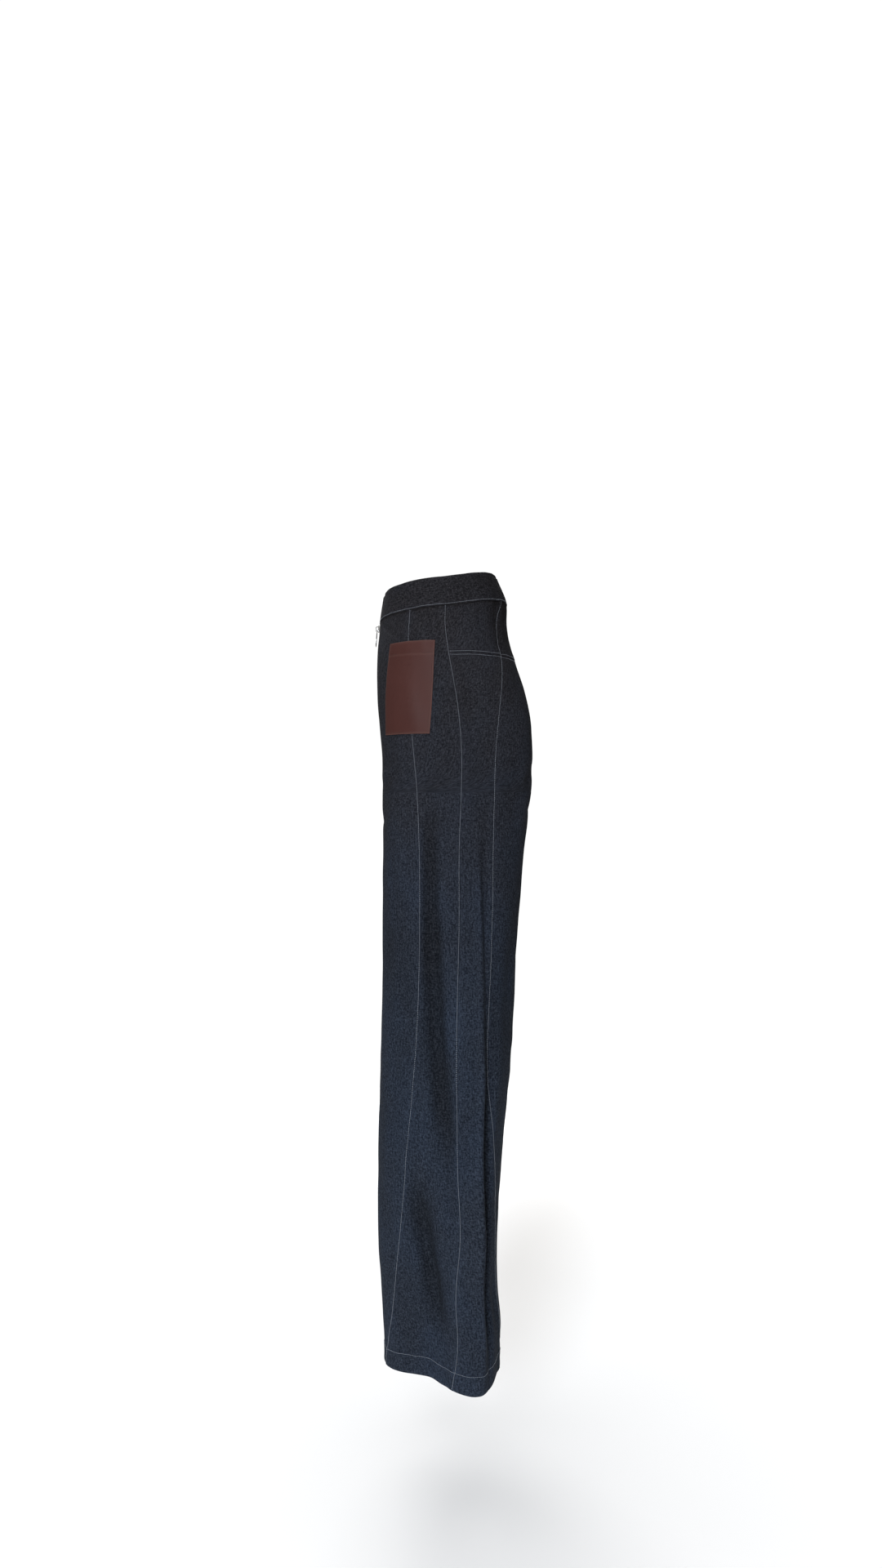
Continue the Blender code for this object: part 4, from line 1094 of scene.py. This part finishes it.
def make_seam_stitches():
    """Topstitching of every seam, the hem and the zip's two edges."""
    sizes = bpy.context.scene.jeans_sizes
    pale = thread("pale_thread")
    top = BAND_BOTTOM - ROW_EDGE
    low = HEM + ROW_EDGE
    hem_level = HEM + sizes.hem_depth - ROW_EDGE
    for number, (half, side) in enumerate(HALVES):
        surface = cloth(half)
        seed = 3 * number
        for name, offset in (("front", ROW_INSET), ("side", -ROW_INSET), ("back", -ROW_INSET)):
            line = seam_line(half, name, offset, top, low, ROW_LIFT)
            row_of_stitches(f"stitches_{name}_{side}", [line], seed + 1, pale)
        side_share = float(surface.seam("side", np.array([YOKE_SEAM]))[0])
        twin = [level_line(half, YOKE_SEAM + away, side_share + 0.002, 0.999, ROW_LIFT)
                for away in YOKE_ROWS]
        row_of_stitches(f"stitches_yoke_{side}", twin, seed + 2, pale)
        hem = level_line(half, hem_level, 0.0, 1.0, ROW_LIFT)
        row_of_stitches(f"stitches_hem_{side}", [hem], seed + 3, pale)
        offset = ZIP_OPENING / 2 + ZIP_ROW
        fly = seam_line(half, "centre_front", offset, top, ZIP_BOTTOM + 0.001, ROW_LIFT)
        row_of_stitches(f"stitches_zip_{side}", [fly], seed + 4, pale)
    crotch_end = CROTCH + 0.006
    front = seam_line(1, "centre_front", 0.0018, ZIP_BOTTOM - 0.001, crotch_end, ROW_LIFT)
    back = seam_line(1, "centre_back", -0.0018, YOKE_SEAM + 0.060, crotch_end, ROW_LIFT)
    row_of_stitches("stitches_rise", [front, back], 21, pale)


def make_band_stitches():
    """One row round the waistband, just above its lower edge."""
    lines = [level_line(half, BAND_BOTTOM + BAND_ROW, 0.004, 0.9995, BAND_PROUD + ROW_LIFT)
             for half, _ in HALVES]
    row_of_stitches("stitches_waistband", lines, 31, thread("pale_thread"))


def make_pocket_stitches():
    """Brown rows under the pocket's turned top and along its sewn edges."""
    brown = thread("brown_thread")
    lift = LEATHER_LIFT + LEATHER + 0.0002
    hem_level = POCKET_TOP - POCKET_HEM + POCKET_HEM_ROW
    low_level = POCKET_BOTTOM + POCKET_ROW
    levels = np.linspace(POCKET_TOP - POCKET_HEM_ROW, low_level, 60)
    for number, (half, side) in enumerate(HALVES):
        surface = cloth(half)
        inset = 0.0030 / float(surface.girth(np.array([hem_level]))[0])
        lines = []
        for level, height in ((hem_level, lift + 0.0009), (low_level, lift)):
            first, last = [float(share[0]) for share in pocket_shares(surface, np.array([level]))]
            lines.append(level_line(half, level, first + inset, last - inset, height))
        edges = []
        for edge, inward in zip(pocket_shares(surface, levels), (POCKET_ROW, -POCKET_ROW)):
            edges.append(surface.place(levels, edge + inward / surface.girth(levels), lift))
        row_of_stitches(f"stitches_pocket_{side}", [lines[0], *edges, lines[1]], 41 + number, brown,
                        0.9)


def rounded_tooth():
    """Small bar with rounded edges."""
    build = bmesh.new()
    bmesh.ops.create_cube(build, size=1.0)
    bmesh.ops.scale(build, vec=TOOTH_SIZE, verts=build.verts)
    bmesh.ops.bevel(build, geom=list(build.edges), offset=0.00025, segments=1, affect="EDGES")
    return link("tooth", mesh_of(build, "tooth"))


def make_zip():
    """Teeth along the chain, softened slider, stop and pull, and the finish of the tapes."""
    nickel = metal("polished_nickel")
    tooth = rounded_tooth()
    start = BAND_BOTTOM - ROW_EDGE
    end = ZIP_BOTTOM + STOP_LENGTH + 0.0010
    points, outward = seam_line(1, "centre_front", 0.0, start, end, (CHAIN_FRONT - CHAIN_BACK) / 2)
    points[:, 0] = 0.0
    outward[:, 0] = 0.0
    teeth = grown("zip_teeth", [(points, outward)], tooth_tree(),
                  {"Pitch": TOOTH_PITCH, "Tooth": tooth, "Shift": TOOTH_SHIFT, "Finish": nickel})
    bpy.data.objects.remove(tooth)
    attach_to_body(teeth, "garment")
    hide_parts("zip_chain")
    for node, body, radius in (("zip_slider", "garment", 0.00028), ("zip_stop", "garment", 0.00025),
                               ("zip_pull", "pull", 0.00030)):
        made = softened(node, radius, nickel)
        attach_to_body(made, body)
        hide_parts(node)
    for side in ("left", "right"):
        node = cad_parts[f"zip_tape_{side}"]
        node.data.materials.clear()
        node.data.materials.append(tape("zip_tape"))


def softened(node, radius, finish):
    """Copy of a metal node with its edges rounded."""
    build = bmesh.new()
    build.from_mesh(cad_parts[node].data)
    bmesh.ops.remove_doubles(build, verts=build.verts, dist=1e-6)
    bmesh.ops.dissolve_limit(build, angle_limit=math.radians(2), verts=build.verts, edges=build.edges)
    bmesh.ops.recalc_face_normals(build, faces=build.faces)
    sharp = [edge for edge in build.edges
             if len(edge.link_faces) == 2 and edge.calc_face_angle() > SHARP_ANGLE]
    bmesh.ops.bevel(build, geom=sharp, offset=radius, segments=2, affect="EDGES", clamp_overlap=True)
    mesh = mesh_of(build, f"{node}_metal")
    mesh.shade_smooth()
    mesh.set_sharp_from_angle(angle=math.radians(50))
    return link(f"{node}_metal", mesh, finish)


# Finishes


def open_finish(name):
    """New material and its tree."""
    made = bpy.data.materials.new(name)
    made.use_nodes = True
    return made, Tree(made.node_tree)


def end_finish(made, tree, values, bump=None):
    """Feeds the shader's inputs by name, and its normal by a height, a strength and a depth."""
    if bump:
        height, strength, depth = bump
        values["Normal"] = tree.add("ShaderNodeBump", (), {
            "Height": height, "Strength": strength, "Distance": depth})
    shader = made.node_tree.nodes["Principled BSDF"]
    for name, value in values.items():
        tree.feed(shader.inputs[name], value)
    return made


def blend_colour(tree, share, first, second, blend="MIX"):
    """Colour between two by a share, or their product."""
    return tree.add("ShaderNodeMix", {"data_type": "RGBA", "blend_type": blend},
                    {0: share, 6: first, 7: second}, output=2)


def four(colour, share=1.0):
    return (*[part * share for part in colour], 1.0)


def clamped(tree, value):
    return tree.add("ShaderNodeClamp", (), {"Value": value, "Min": 0.0, "Max": 1.0})


def eased(tree, value, start, end):
    """Share of the way from one value to another, starting and ending softly."""
    return tree.add("ShaderNodeMapRange", {"interpolation_type": "SMOOTHSTEP"},
                    {"Value": value, "From Min": start, "From Max": end}, output="Result")


def ribs(tree, distance, pitch):
    """Even ribs between 0 and 1."""
    return tree.maths("SINE", distance * (2 * math.pi / pitch)) * 0.5 + 0.5


def noise(tree, vector, scale, detail=2.0, flat="2D"):
    return tree.add("ShaderNodeTexNoise", {"noise_dimensions": flat},
                    {"Vector": vector, "Scale": scale, "Detail": detail, "Roughness": 0.55})


def stretched(tree, vector, scales, detail=3.0, flat="3D"):
    """Noise that runs longer one way."""
    place = tree.add("ShaderNodeMapping", {"vector_type": "POINT"}, {"Vector": vector, "Scale": scales})
    return noise(tree, place, 1.0, detail, flat)


def cloth_places(tree):
    """Place on the cloth's map, and its two parts: across and along the cloth."""
    spot = tree.add("ShaderNodeUVMap", {"uv_map": "cloth"})
    parts = tree.add("ShaderNodeSeparateXYZ", (), {"Vector": spot}, output=None)
    return spot, Wire(tree, parts.outputs[0]), Wire(tree, parts.outputs[1])


def woven(tree, across, along, by_across, by_along, detail=2.0):
    """Noise over the cloth, with its own number of cells to a metre across and along."""
    place = tree.add("ShaderNodeCombineXYZ", (), {
        "X": across * by_across, "Y": along * by_along, "Z": 0.0})
    return noise(tree, place, 1.0, detail)


# Stored values: above nothing for rubbed places (on the denim's ridges partly a painted highlight),
# below nothing for painted shade in hollows and under the waistband
def rubbed_and_shaded_parts(tree):
    return tree.add("ShaderNodeAttribute", {"attribute_name": "wear"}, output="Fac")


@lru_cache(maxsize=None)
def denim(name):
    """Right side of the denim: dark warp over pale weft, with slubs, twill and rubbed edges, painted
    shade that makes it darker and greyer towards the waist and darkens its hollows and the cloth under
    the waistband, and ridges paler, partly rubbed and partly a painted highlight.
    """
    colours = bpy.context.scene.jeans_colours
    made, tree = open_finish(name)
    _, across, along = cloth_places(tree)
    twill = ribs(tree, across + along * TWILL_SLOPE, TWILL_PITCH)
    threads = ribs(tree, across, WARP_PITCH)
    slubs = woven(tree, across, along, 900.0, 75.0)
    picks = woven(tree, across, along, 130.0, 980.0)
    flecks = woven(tree, across, along, 560.0, 460.0, 3.0)
    mottles = woven(tree, across, along, 410.0, 260.0, 3.0)
    clouds = woven(tree, across, along, 16.0, 9.0, 3.0)
    rubbed_and_shaded = rubbed_and_shaded_parts(tree)
    pale = twill * 0.24 + threads * 0.08 + slubs + picks * 0.75 + flecks * 1.70 + mottles * 1.2
    # Rubbed places and ridges paler, the ridges partly a painted highlight; painted shade makes the
    # hollows and the cloth under the waistband darker
    pale = clamped(tree, pale - 2.07 + (clouds - 0.5) * 0.25 + rubbed_and_shaded * 0.16)
    # Painted shade: the denim turns darker and greyer towards the waist, from the leg's warp and weft
    # to the waist's
    spot = tree.add("ShaderNodeTexCoord", output="Object")
    height_up = tree.add("ShaderNodeSeparateXYZ", (), {"Vector": spot}, output=2)
    out_of_waist_shade = eased(tree, height_up, *WAIST_SHADE_LEVELS)
    dark = blend_colour(tree, out_of_waist_shade, four(colours.band_warp), four(colours.warp))
    light = blend_colour(tree, out_of_waist_shade, four(colours.band_weft), four(colours.weft))
    colour = blend_colour(tree, pale, dark, light)
    tinge = blend_colour(tree, (clouds - 0.35) * 1.6, four((1.05, 0.99, 0.94)), four((0.93, 1.0, 1.08)))
    # Painted shade: the hollow colour is multiplied into the hollows and under the waistband
    painted_hollow_shade = blend_colour(tree, clamped(tree, rubbed_and_shaded * -1.0), four(WHITE), four(colours.hollow))
    for tint in (tinge, painted_hollow_shade):
        colour = blend_colour(tree, 1.0, colour, tint, "MULTIPLY")
    height = twill * 0.35 + threads * 0.20 + slubs * 0.8 + picks * 0.5 + flecks * 0.4
    values = {"Base Color": colour, "Roughness": 0.82 + flecks * 0.16, "Specular IOR Level": 0.06}
    return end_finish(made, tree, values, (height, 0.55, 0.0005))


@lru_cache(maxsize=None)
def denim_back():
    """Wrong side of the denim: mostly pale weft, with the warp showing through in lines."""
    colours = bpy.context.scene.jeans_colours
    made, tree = open_finish("denim_wrong_side")
    _, across, along = cloth_places(tree)
    twill = ribs(tree, along * TWILL_SLOPE - across, TWILL_PITCH)
    picks = woven(tree, across, along, 110.0, 900.0)
    flecks = woven(tree, across, along, 600.0, 500.0, 3.0)
    clouds = woven(tree, across, along, 14.0, 10.0, 3.0)
    pale = twill * 0.30 + picks * 0.55 + flecks * 0.55 + (clouds - 0.5) * 0.3 - 0.15
    colour = blend_colour(tree, clamped(tree, pale), four(colours.weft, 0.7), four(colours.inside))
    height = twill * 0.4 + picks * 0.8 + flecks * 0.3
    values = {"Base Color": colour, "Roughness": 0.85 + flecks * 0.12, "Specular IOR Level": 0.25}
    return end_finish(made, tree, values, (height, 0.5, 0.0005))


@lru_cache(maxsize=None)
def leather(name):
    """Smooth brown leather with fine pores, soft creases and paler cut edges."""
    colours = bpy.context.scene.jeans_colours
    made, tree = open_finish(name)
    base_share, deep_share = (1.5, 0.9) if name == "flesh_side" else (1.0, 0.72)
    spot, _, _ = cloth_places(tree)
    pores = tree.add("ShaderNodeTexVoronoi", {"voronoi_dimensions": "2D", "feature": "F1"},
                     {"Vector": spot, "Scale": 950.0}, output="Distance")
    grain = noise(tree, spot, 420.0, 4.0)
    clouds = noise(tree, spot, 30.0, 4.0)
    streaks = stretched(tree, spot, (90.0, 14.0, 1.0), flat="2D")
    rubbed_and_shaded = rubbed_and_shaded_parts(tree)
    body = blend_colour(tree, grain * 0.5 + clouds * 0.45 + streaks * 0.25 - 0.1,
                        four(colours.leather, deep_share), four(colours.leather, base_share))
    values = {
        "Base Color": blend_colour(tree, rubbed_and_shaded * 0.55, body, four(colours.leather_edge)),
        "Roughness": 0.46 + grain * 0.14 + clouds * 0.10 + rubbed_and_shaded * 0.1,
        "Specular IOR Level": 0.16,
    }
    return end_finish(made, tree, values, (grain * 0.5 - pores * 0.5 + streaks * 0.5, 0.35, 0.0003))


@lru_cache(maxsize=None)
def thread(name):
    """Twisted sewing thread."""
    colours = bpy.context.scene.jeans_colours
    made, tree = open_finish(name)
    colour = colours.thread if name == "pale_thread" else colours.brown_thread
    spot = tree.add("ShaderNodeTexCoord", output="Object")
    ply = tree.add("ShaderNodeTexWave", {"bands_direction": "DIAGONAL"},
                   {"Vector": spot, "Scale": 900.0, "Distortion": 1.5, "Detail": 1.0}, output="Fac")
    dust = noise(tree, spot, 160.0, 2.0, "3D")
    values = {
        "Base Color": blend_colour(tree, ply * 0.6 + dust * 0.4, four(colour, 0.62), four(colour, 1.1)),
        "Roughness": 0.62 + dust * 0.2,
    }
    return end_finish(made, tree, values, (ply, 0.5, 0.0002))


@lru_cache(maxsize=None)
def metal(name):
    """Polished nickel with fine scratches and slightly duller patches."""
    colours = bpy.context.scene.jeans_colours
    made, tree = open_finish(name)
    spot = tree.add("ShaderNodeTexCoord", output="Object")
    scratches = stretched(tree, spot, (5200.0, 5200.0, 300.0))
    patches = noise(tree, spot, 380.0, 3.0, "3D")
    values = {
        "Base Color": blend_colour(tree, patches, four(colours.nickel, 0.82),
                                   four(colours.nickel, 1.05)),
        "Metallic": 1.0,
        "Roughness": 0.16 + scratches * 0.14 + patches * 0.10,
    }
    return end_finish(made, tree, values, (scratches, 0.18, 0.00008))


@lru_cache(maxsize=None)
def tape(name):
    """Tightly woven tape with a herringbone of fine ribs."""
    colours = bpy.context.scene.jeans_colours
    made, tree = open_finish(name)
    spot = tree.add("ShaderNodeTexCoord", output="Object")
    parts = tree.add("ShaderNodeSeparateXYZ", (), {"Vector": spot}, output=None)
    across, up = Wire(tree, parts.outputs[0]), Wire(tree, parts.outputs[2])
    weave = ribs(tree, up + tree.maths("PINGPONG", across, TAPE_PITCH), TAPE_RIB)
    fuzz = noise(tree, spot, 700.0, 3.0, "3D")
    colour = blend_colour(tree, weave * 0.5 + fuzz * 0.5, four(colours.tape, 0.6),
                          four(colours.tape, 1.8))
    values = {"Base Color": colour, "Roughness": 0.75 + fuzz * 0.2}
    return end_finish(made, tree, values, (weave + fuzz * 0.4, 0.5, 0.0003))


@lru_cache(maxsize=None)
def studio_white(name):
    """Matt white of the studio's floor, a little uneven, with a painted glow that is faint in the
    middle and grows towards its edge, where it fades out into the white round it.
    """
    made, tree = open_finish(name)
    spot = tree.add("ShaderNodeTexCoord", output="Object")
    away = tree.add("ShaderNodeVectorMath", {"operation": "LENGTH"}, {0: spot}, output="Value")
    far = eased(tree, away, FADE_START, FLOOR_RADIUS)
    patches = noise(tree, spot, 2.0, 2.0, "3D")
    return end_finish(made, tree, {
        "Base Color": blend_colour(tree, patches, four(WHITE, 0.86), four(WHITE, 0.90)),
        "Roughness": 0.95,
        # Painted light: the floor glows, faintly in the middle and more towards its edge
        "Emission Color": blend_colour(tree, far, four(WHITE, 0.10), four(WHITE, 0.45)),
        "Emission Strength": 1.0,
    })


# Stage


def make_stage():
    """White floor, camera at the garment's side, and soft light from that side."""
    scene = bpy.context.scene
    sizes = scene.jeans_sizes
    build = bmesh.new()
    bmesh.ops.create_circle(build, cap_ends=True, segments=96, radius=FLOOR_RADIUS)
    bmesh.ops.translate(build, verts=build.verts, vec=(0.0, 0.0, FLOOR))
    link("studio_floor", mesh_of(build, "studio_floor"), studio_white("studio_white"))

    world = bpy.data.worlds.new("studio")
    scene.world = world
    world.use_nodes = True
    world.node_tree.nodes.clear()
    tree = Tree(world.node_tree)
    seen = tree.add("ShaderNodeLightPath", output="Is Camera Ray")
    sky = tree.add("ShaderNodeBackground", (), {"Color": SKY_COLOUR, "Strength": sizes.sky_strength})
    white = tree.add("ShaderNodeBackground", (), {"Color": four(WHITE), "Strength": BACKDROP})
    both = tree.add("ShaderNodeMixShader", (), {0: seen, 1: sky, 2: white})
    tree.add("ShaderNodeOutputWorld", (), {"Surface": both}, output=None)

    strengths = (sizes.key_strength, sizes.fill_strength, sizes.top_strength)
    for (name, place, width, colour), strength in zip(LIGHTS, strengths):
        lamp = bpy.data.lights.new(name, "SUN")
        lamp.energy = strength
        lamp.color = colour
        lamp.angle = math.radians(width)
        holder = link(name, lamp)
        holder.location = place
        holder.rotation_mode = "QUATERNION"
        holder.rotation_quaternion = Vector(place).to_track_quat("Z", "Y")

    view = bpy.data.cameras.new("photo_view")
    view.sensor_width = 36.0
    view.lens = CAMERA_LENS
    view.clip_start = 0.02
    view.clip_end = 60.0
    camera = link("photo_view", view)
    camera.location = CAMERA_PLACE
    camera.rotation_euler = (math.pi / 2, 0.0, math.pi / 2)
    scene.camera = camera
    scene.view_settings.view_transform = "Standard"


# Settings, operators and panel


# Sizes and lights: name, label, meaning, value, least, most and unit
SIZES = (
    ("cloth", "Cloth", "Thickness of the denim", 0.0013, 0.0005, 0.004, "LENGTH"),
    ("mesh_pitch", "Mesh pitch", "Distance between the shells' points", 0.0028, 0.001, 0.02, "LENGTH"),
    ("edge_radius", "Edge radius", "Radius of the turned edges", 0.0007, 0.0002, 0.002, "LENGTH"),
    ("hem_depth", "Hem depth", "How far up the hem is turned", 0.028, 0.005, 0.08, "LENGTH"),
    ("seam_rise", "Seam rise", "How far seam allowances lift the cloth", 0.0005, 0.0, 0.002, "LENGTH"),
    ("crease_share", "Crease share", "Depth of the creases over the table's", 1.35, 0.0, 3.0, "NONE"),
    ("pucker", "Pucker", "Height of the puckers beside the stitching", 0.0003, 0.0, 0.002, "LENGTH"),
    ("stitch_pitch", "Stitch pitch", "Distance from stitch to stitch", 0.0025, 0.001, 0.01, "LENGTH"),
    ("stitch_length", "Stitch length", "Length of thread that shows", 0.0016, 0.0005, 0.01, "LENGTH"),
    ("thread_width", "Thread width", "Width of the sewing thread", 0.00055, 0.0002, 0.002, "LENGTH"),
    ("key_strength", "Key light", "Strength of the light from the front", 2.55, 0.0, 20.0, "NONE"),
    ("fill_strength", "Fill light", "Strength of the light on the far side", 1.5, 0.0, 20.0, "NONE"),
    ("top_strength", "Top light", "Strength of the light from overhead", 1.4, 0.0, 20.0, "NONE"),
    ("sky_strength", "Sky", "Strength of the light from all round", 0.10, 0.0, 5.0, "NONE"),
)

# Colours: name, label, meaning and value
COLOURS = (
    ("warp", "Warp", "Dark indigo of the denim's warp", (0.0060, 0.0088, 0.0150)),
    ("weft", "Weft", "Paler grey-blue that shows between the warp", (0.036, 0.047, 0.068)),
    # The waist warp and weft are painted shade: darker, greyer colours the denim turns to near the
    # waist
    ("band_warp", "Waist warp", "Dark threads near the waist", (0.0068, 0.0070, 0.0086)),
    ("band_weft", "Waist weft", "Pale threads near the waist", (0.040, 0.040, 0.047)),
    # The hollow colour is painted shade, multiplied into the cloth's hollows and under the waistband
    ("hollow", "Hollow", "Tint of the cloth's hollows", (0.74, 0.66, 0.57)),
    ("inside", "Inside", "Pale weft on the wrong side", (0.30, 0.32, 0.35)),
    ("leather", "Leather", "Brown of the patch pockets", (0.076, 0.0265, 0.0215)),
    ("leather_edge", "Leather edge", "Paler brown of the cut edges", (0.150, 0.080, 0.066)),
    ("thread", "Thread", "Pale grey topstitching thread", (0.39, 0.42, 0.47)),
    ("brown_thread", "Brown thread", "Thread of the pockets", (0.060, 0.026, 0.020)),
    ("nickel", "Nickel", "Metal of the zip", (0.74, 0.73, 0.71)),
    ("tape", "Zip tape", "Cloth of the zip's tapes", (0.014, 0.015, 0.020)),
)


class JeansSizes(bpy.types.PropertyGroup):
    __annotations__ = {
        name: FloatProperty(name=label, description=meaning, default=value,
                            min=least, max=most, unit=unit)
        for name, label, meaning, value, least, most, unit in SIZES
    }


class JeansColours(bpy.types.PropertyGroup):
    __annotations__ = {
        name: FloatVectorProperty(name=label, description=meaning, default=value, size=3,
                                  min=0.0, max=1.0, subtype="COLOR")
        for name, label, meaning, value in COLOURS
    }


class JEANS_OT_stage(bpy.types.Operator):
    """Make the floor, the lights and the camera"""

    bl_idname = "jeans.stage"
    bl_label = "Stage"

    def execute(self, context):
        make_stage()
        return {"FINISHED"}


class JEANS_OT_waistband(bpy.types.Operator):
    """Make the waistband and its row of stitches"""

    bl_idname = "jeans.waistband"
    bl_label = "Waistband"

    def execute(self, context):
        make_waistband()
        make_band_stitches()
        return {"FINISHED"}


class JEANS_OT_panels(bpy.types.Operator):
    """Make the denim panels of both halves"""

    bl_idname = "jeans.panels"
    bl_label = "Denim panels"

    def execute(self, context):
        for half, side in HALVES:
            for panel in PANELS:
                name, width, length, area = make_panel(half, side, panel)
                print(f"{name}: cut {width:.3f} x {length:.3f} m, {area:.4f} m2")
        return {"FINISHED"}


class JEANS_OT_topstitching(bpy.types.Operator):
    """Make the topstitching of the seams, the hems and the zip's edges"""

    bl_idname = "jeans.topstitching"
    bl_label = "Topstitching"

    def execute(self, context):
        make_seam_stitches()
        return {"FINISHED"}


class JEANS_OT_pockets(bpy.types.Operator):
    """Make the leather patch pockets and their stitches"""

    bl_idname = "jeans.pockets"
    bl_label = "Leather pockets"

    def execute(self, context):
        for half, side in HALVES:
            make_pocket(half, side)
        make_pocket_stitches()
        return {"FINISHED"}


class JEANS_OT_zip(bpy.types.Operator):
    """Make the zip's teeth, slider, stop and pull, and finish its tapes"""

    bl_idname = "jeans.zip"
    bl_label = "Zip"

    def execute(self, context):
        make_zip()
        return {"FINISHED"}


class JEANS_PT_looks(bpy.types.Panel):
    """Sizes, colours and pieces of the jeans"""

    bl_label = "Jeans"
    bl_idname = "JEANS_PT_looks"
    bl_space_type = "VIEW_3D"
    bl_region_type = "UI"
    bl_category = "Jeans"

    def draw(self, context):
        for group in (context.scene.jeans_sizes, context.scene.jeans_colours):
            column = self.layout.column()
            for name in group.__annotations__:
                column.prop(group, name)
        for operator in OPERATORS:
            self.layout.operator(operator.bl_idname)


OPERATORS = (JEANS_OT_stage, JEANS_OT_waistband, JEANS_OT_panels, JEANS_OT_topstitching,
             JEANS_OT_pockets, JEANS_OT_zip)
CLASSES = (JeansSizes, JeansColours, *OPERATORS, JEANS_PT_looks)


def register():
    for group in CLASSES:
        bpy.utils.register_class(group)
    bpy.types.Scene.jeans_sizes = PointerProperty(type=JeansSizes)
    bpy.types.Scene.jeans_colours = PointerProperty(type=JeansColours)


def unregister():
    del bpy.types.Scene.jeans_sizes
    del bpy.types.Scene.jeans_colours
    for group in reversed(CLASSES):
        bpy.utils.unregister_class(group)


def main():
    register()
    bpy.ops.jeans.stage()
    bpy.ops.jeans.waistband()
    bpy.ops.jeans.panels()
    bpy.ops.jeans.topstitching()
    bpy.ops.jeans.pockets()
    bpy.ops.jeans.zip()


if __name__ == "__main__":
    main()
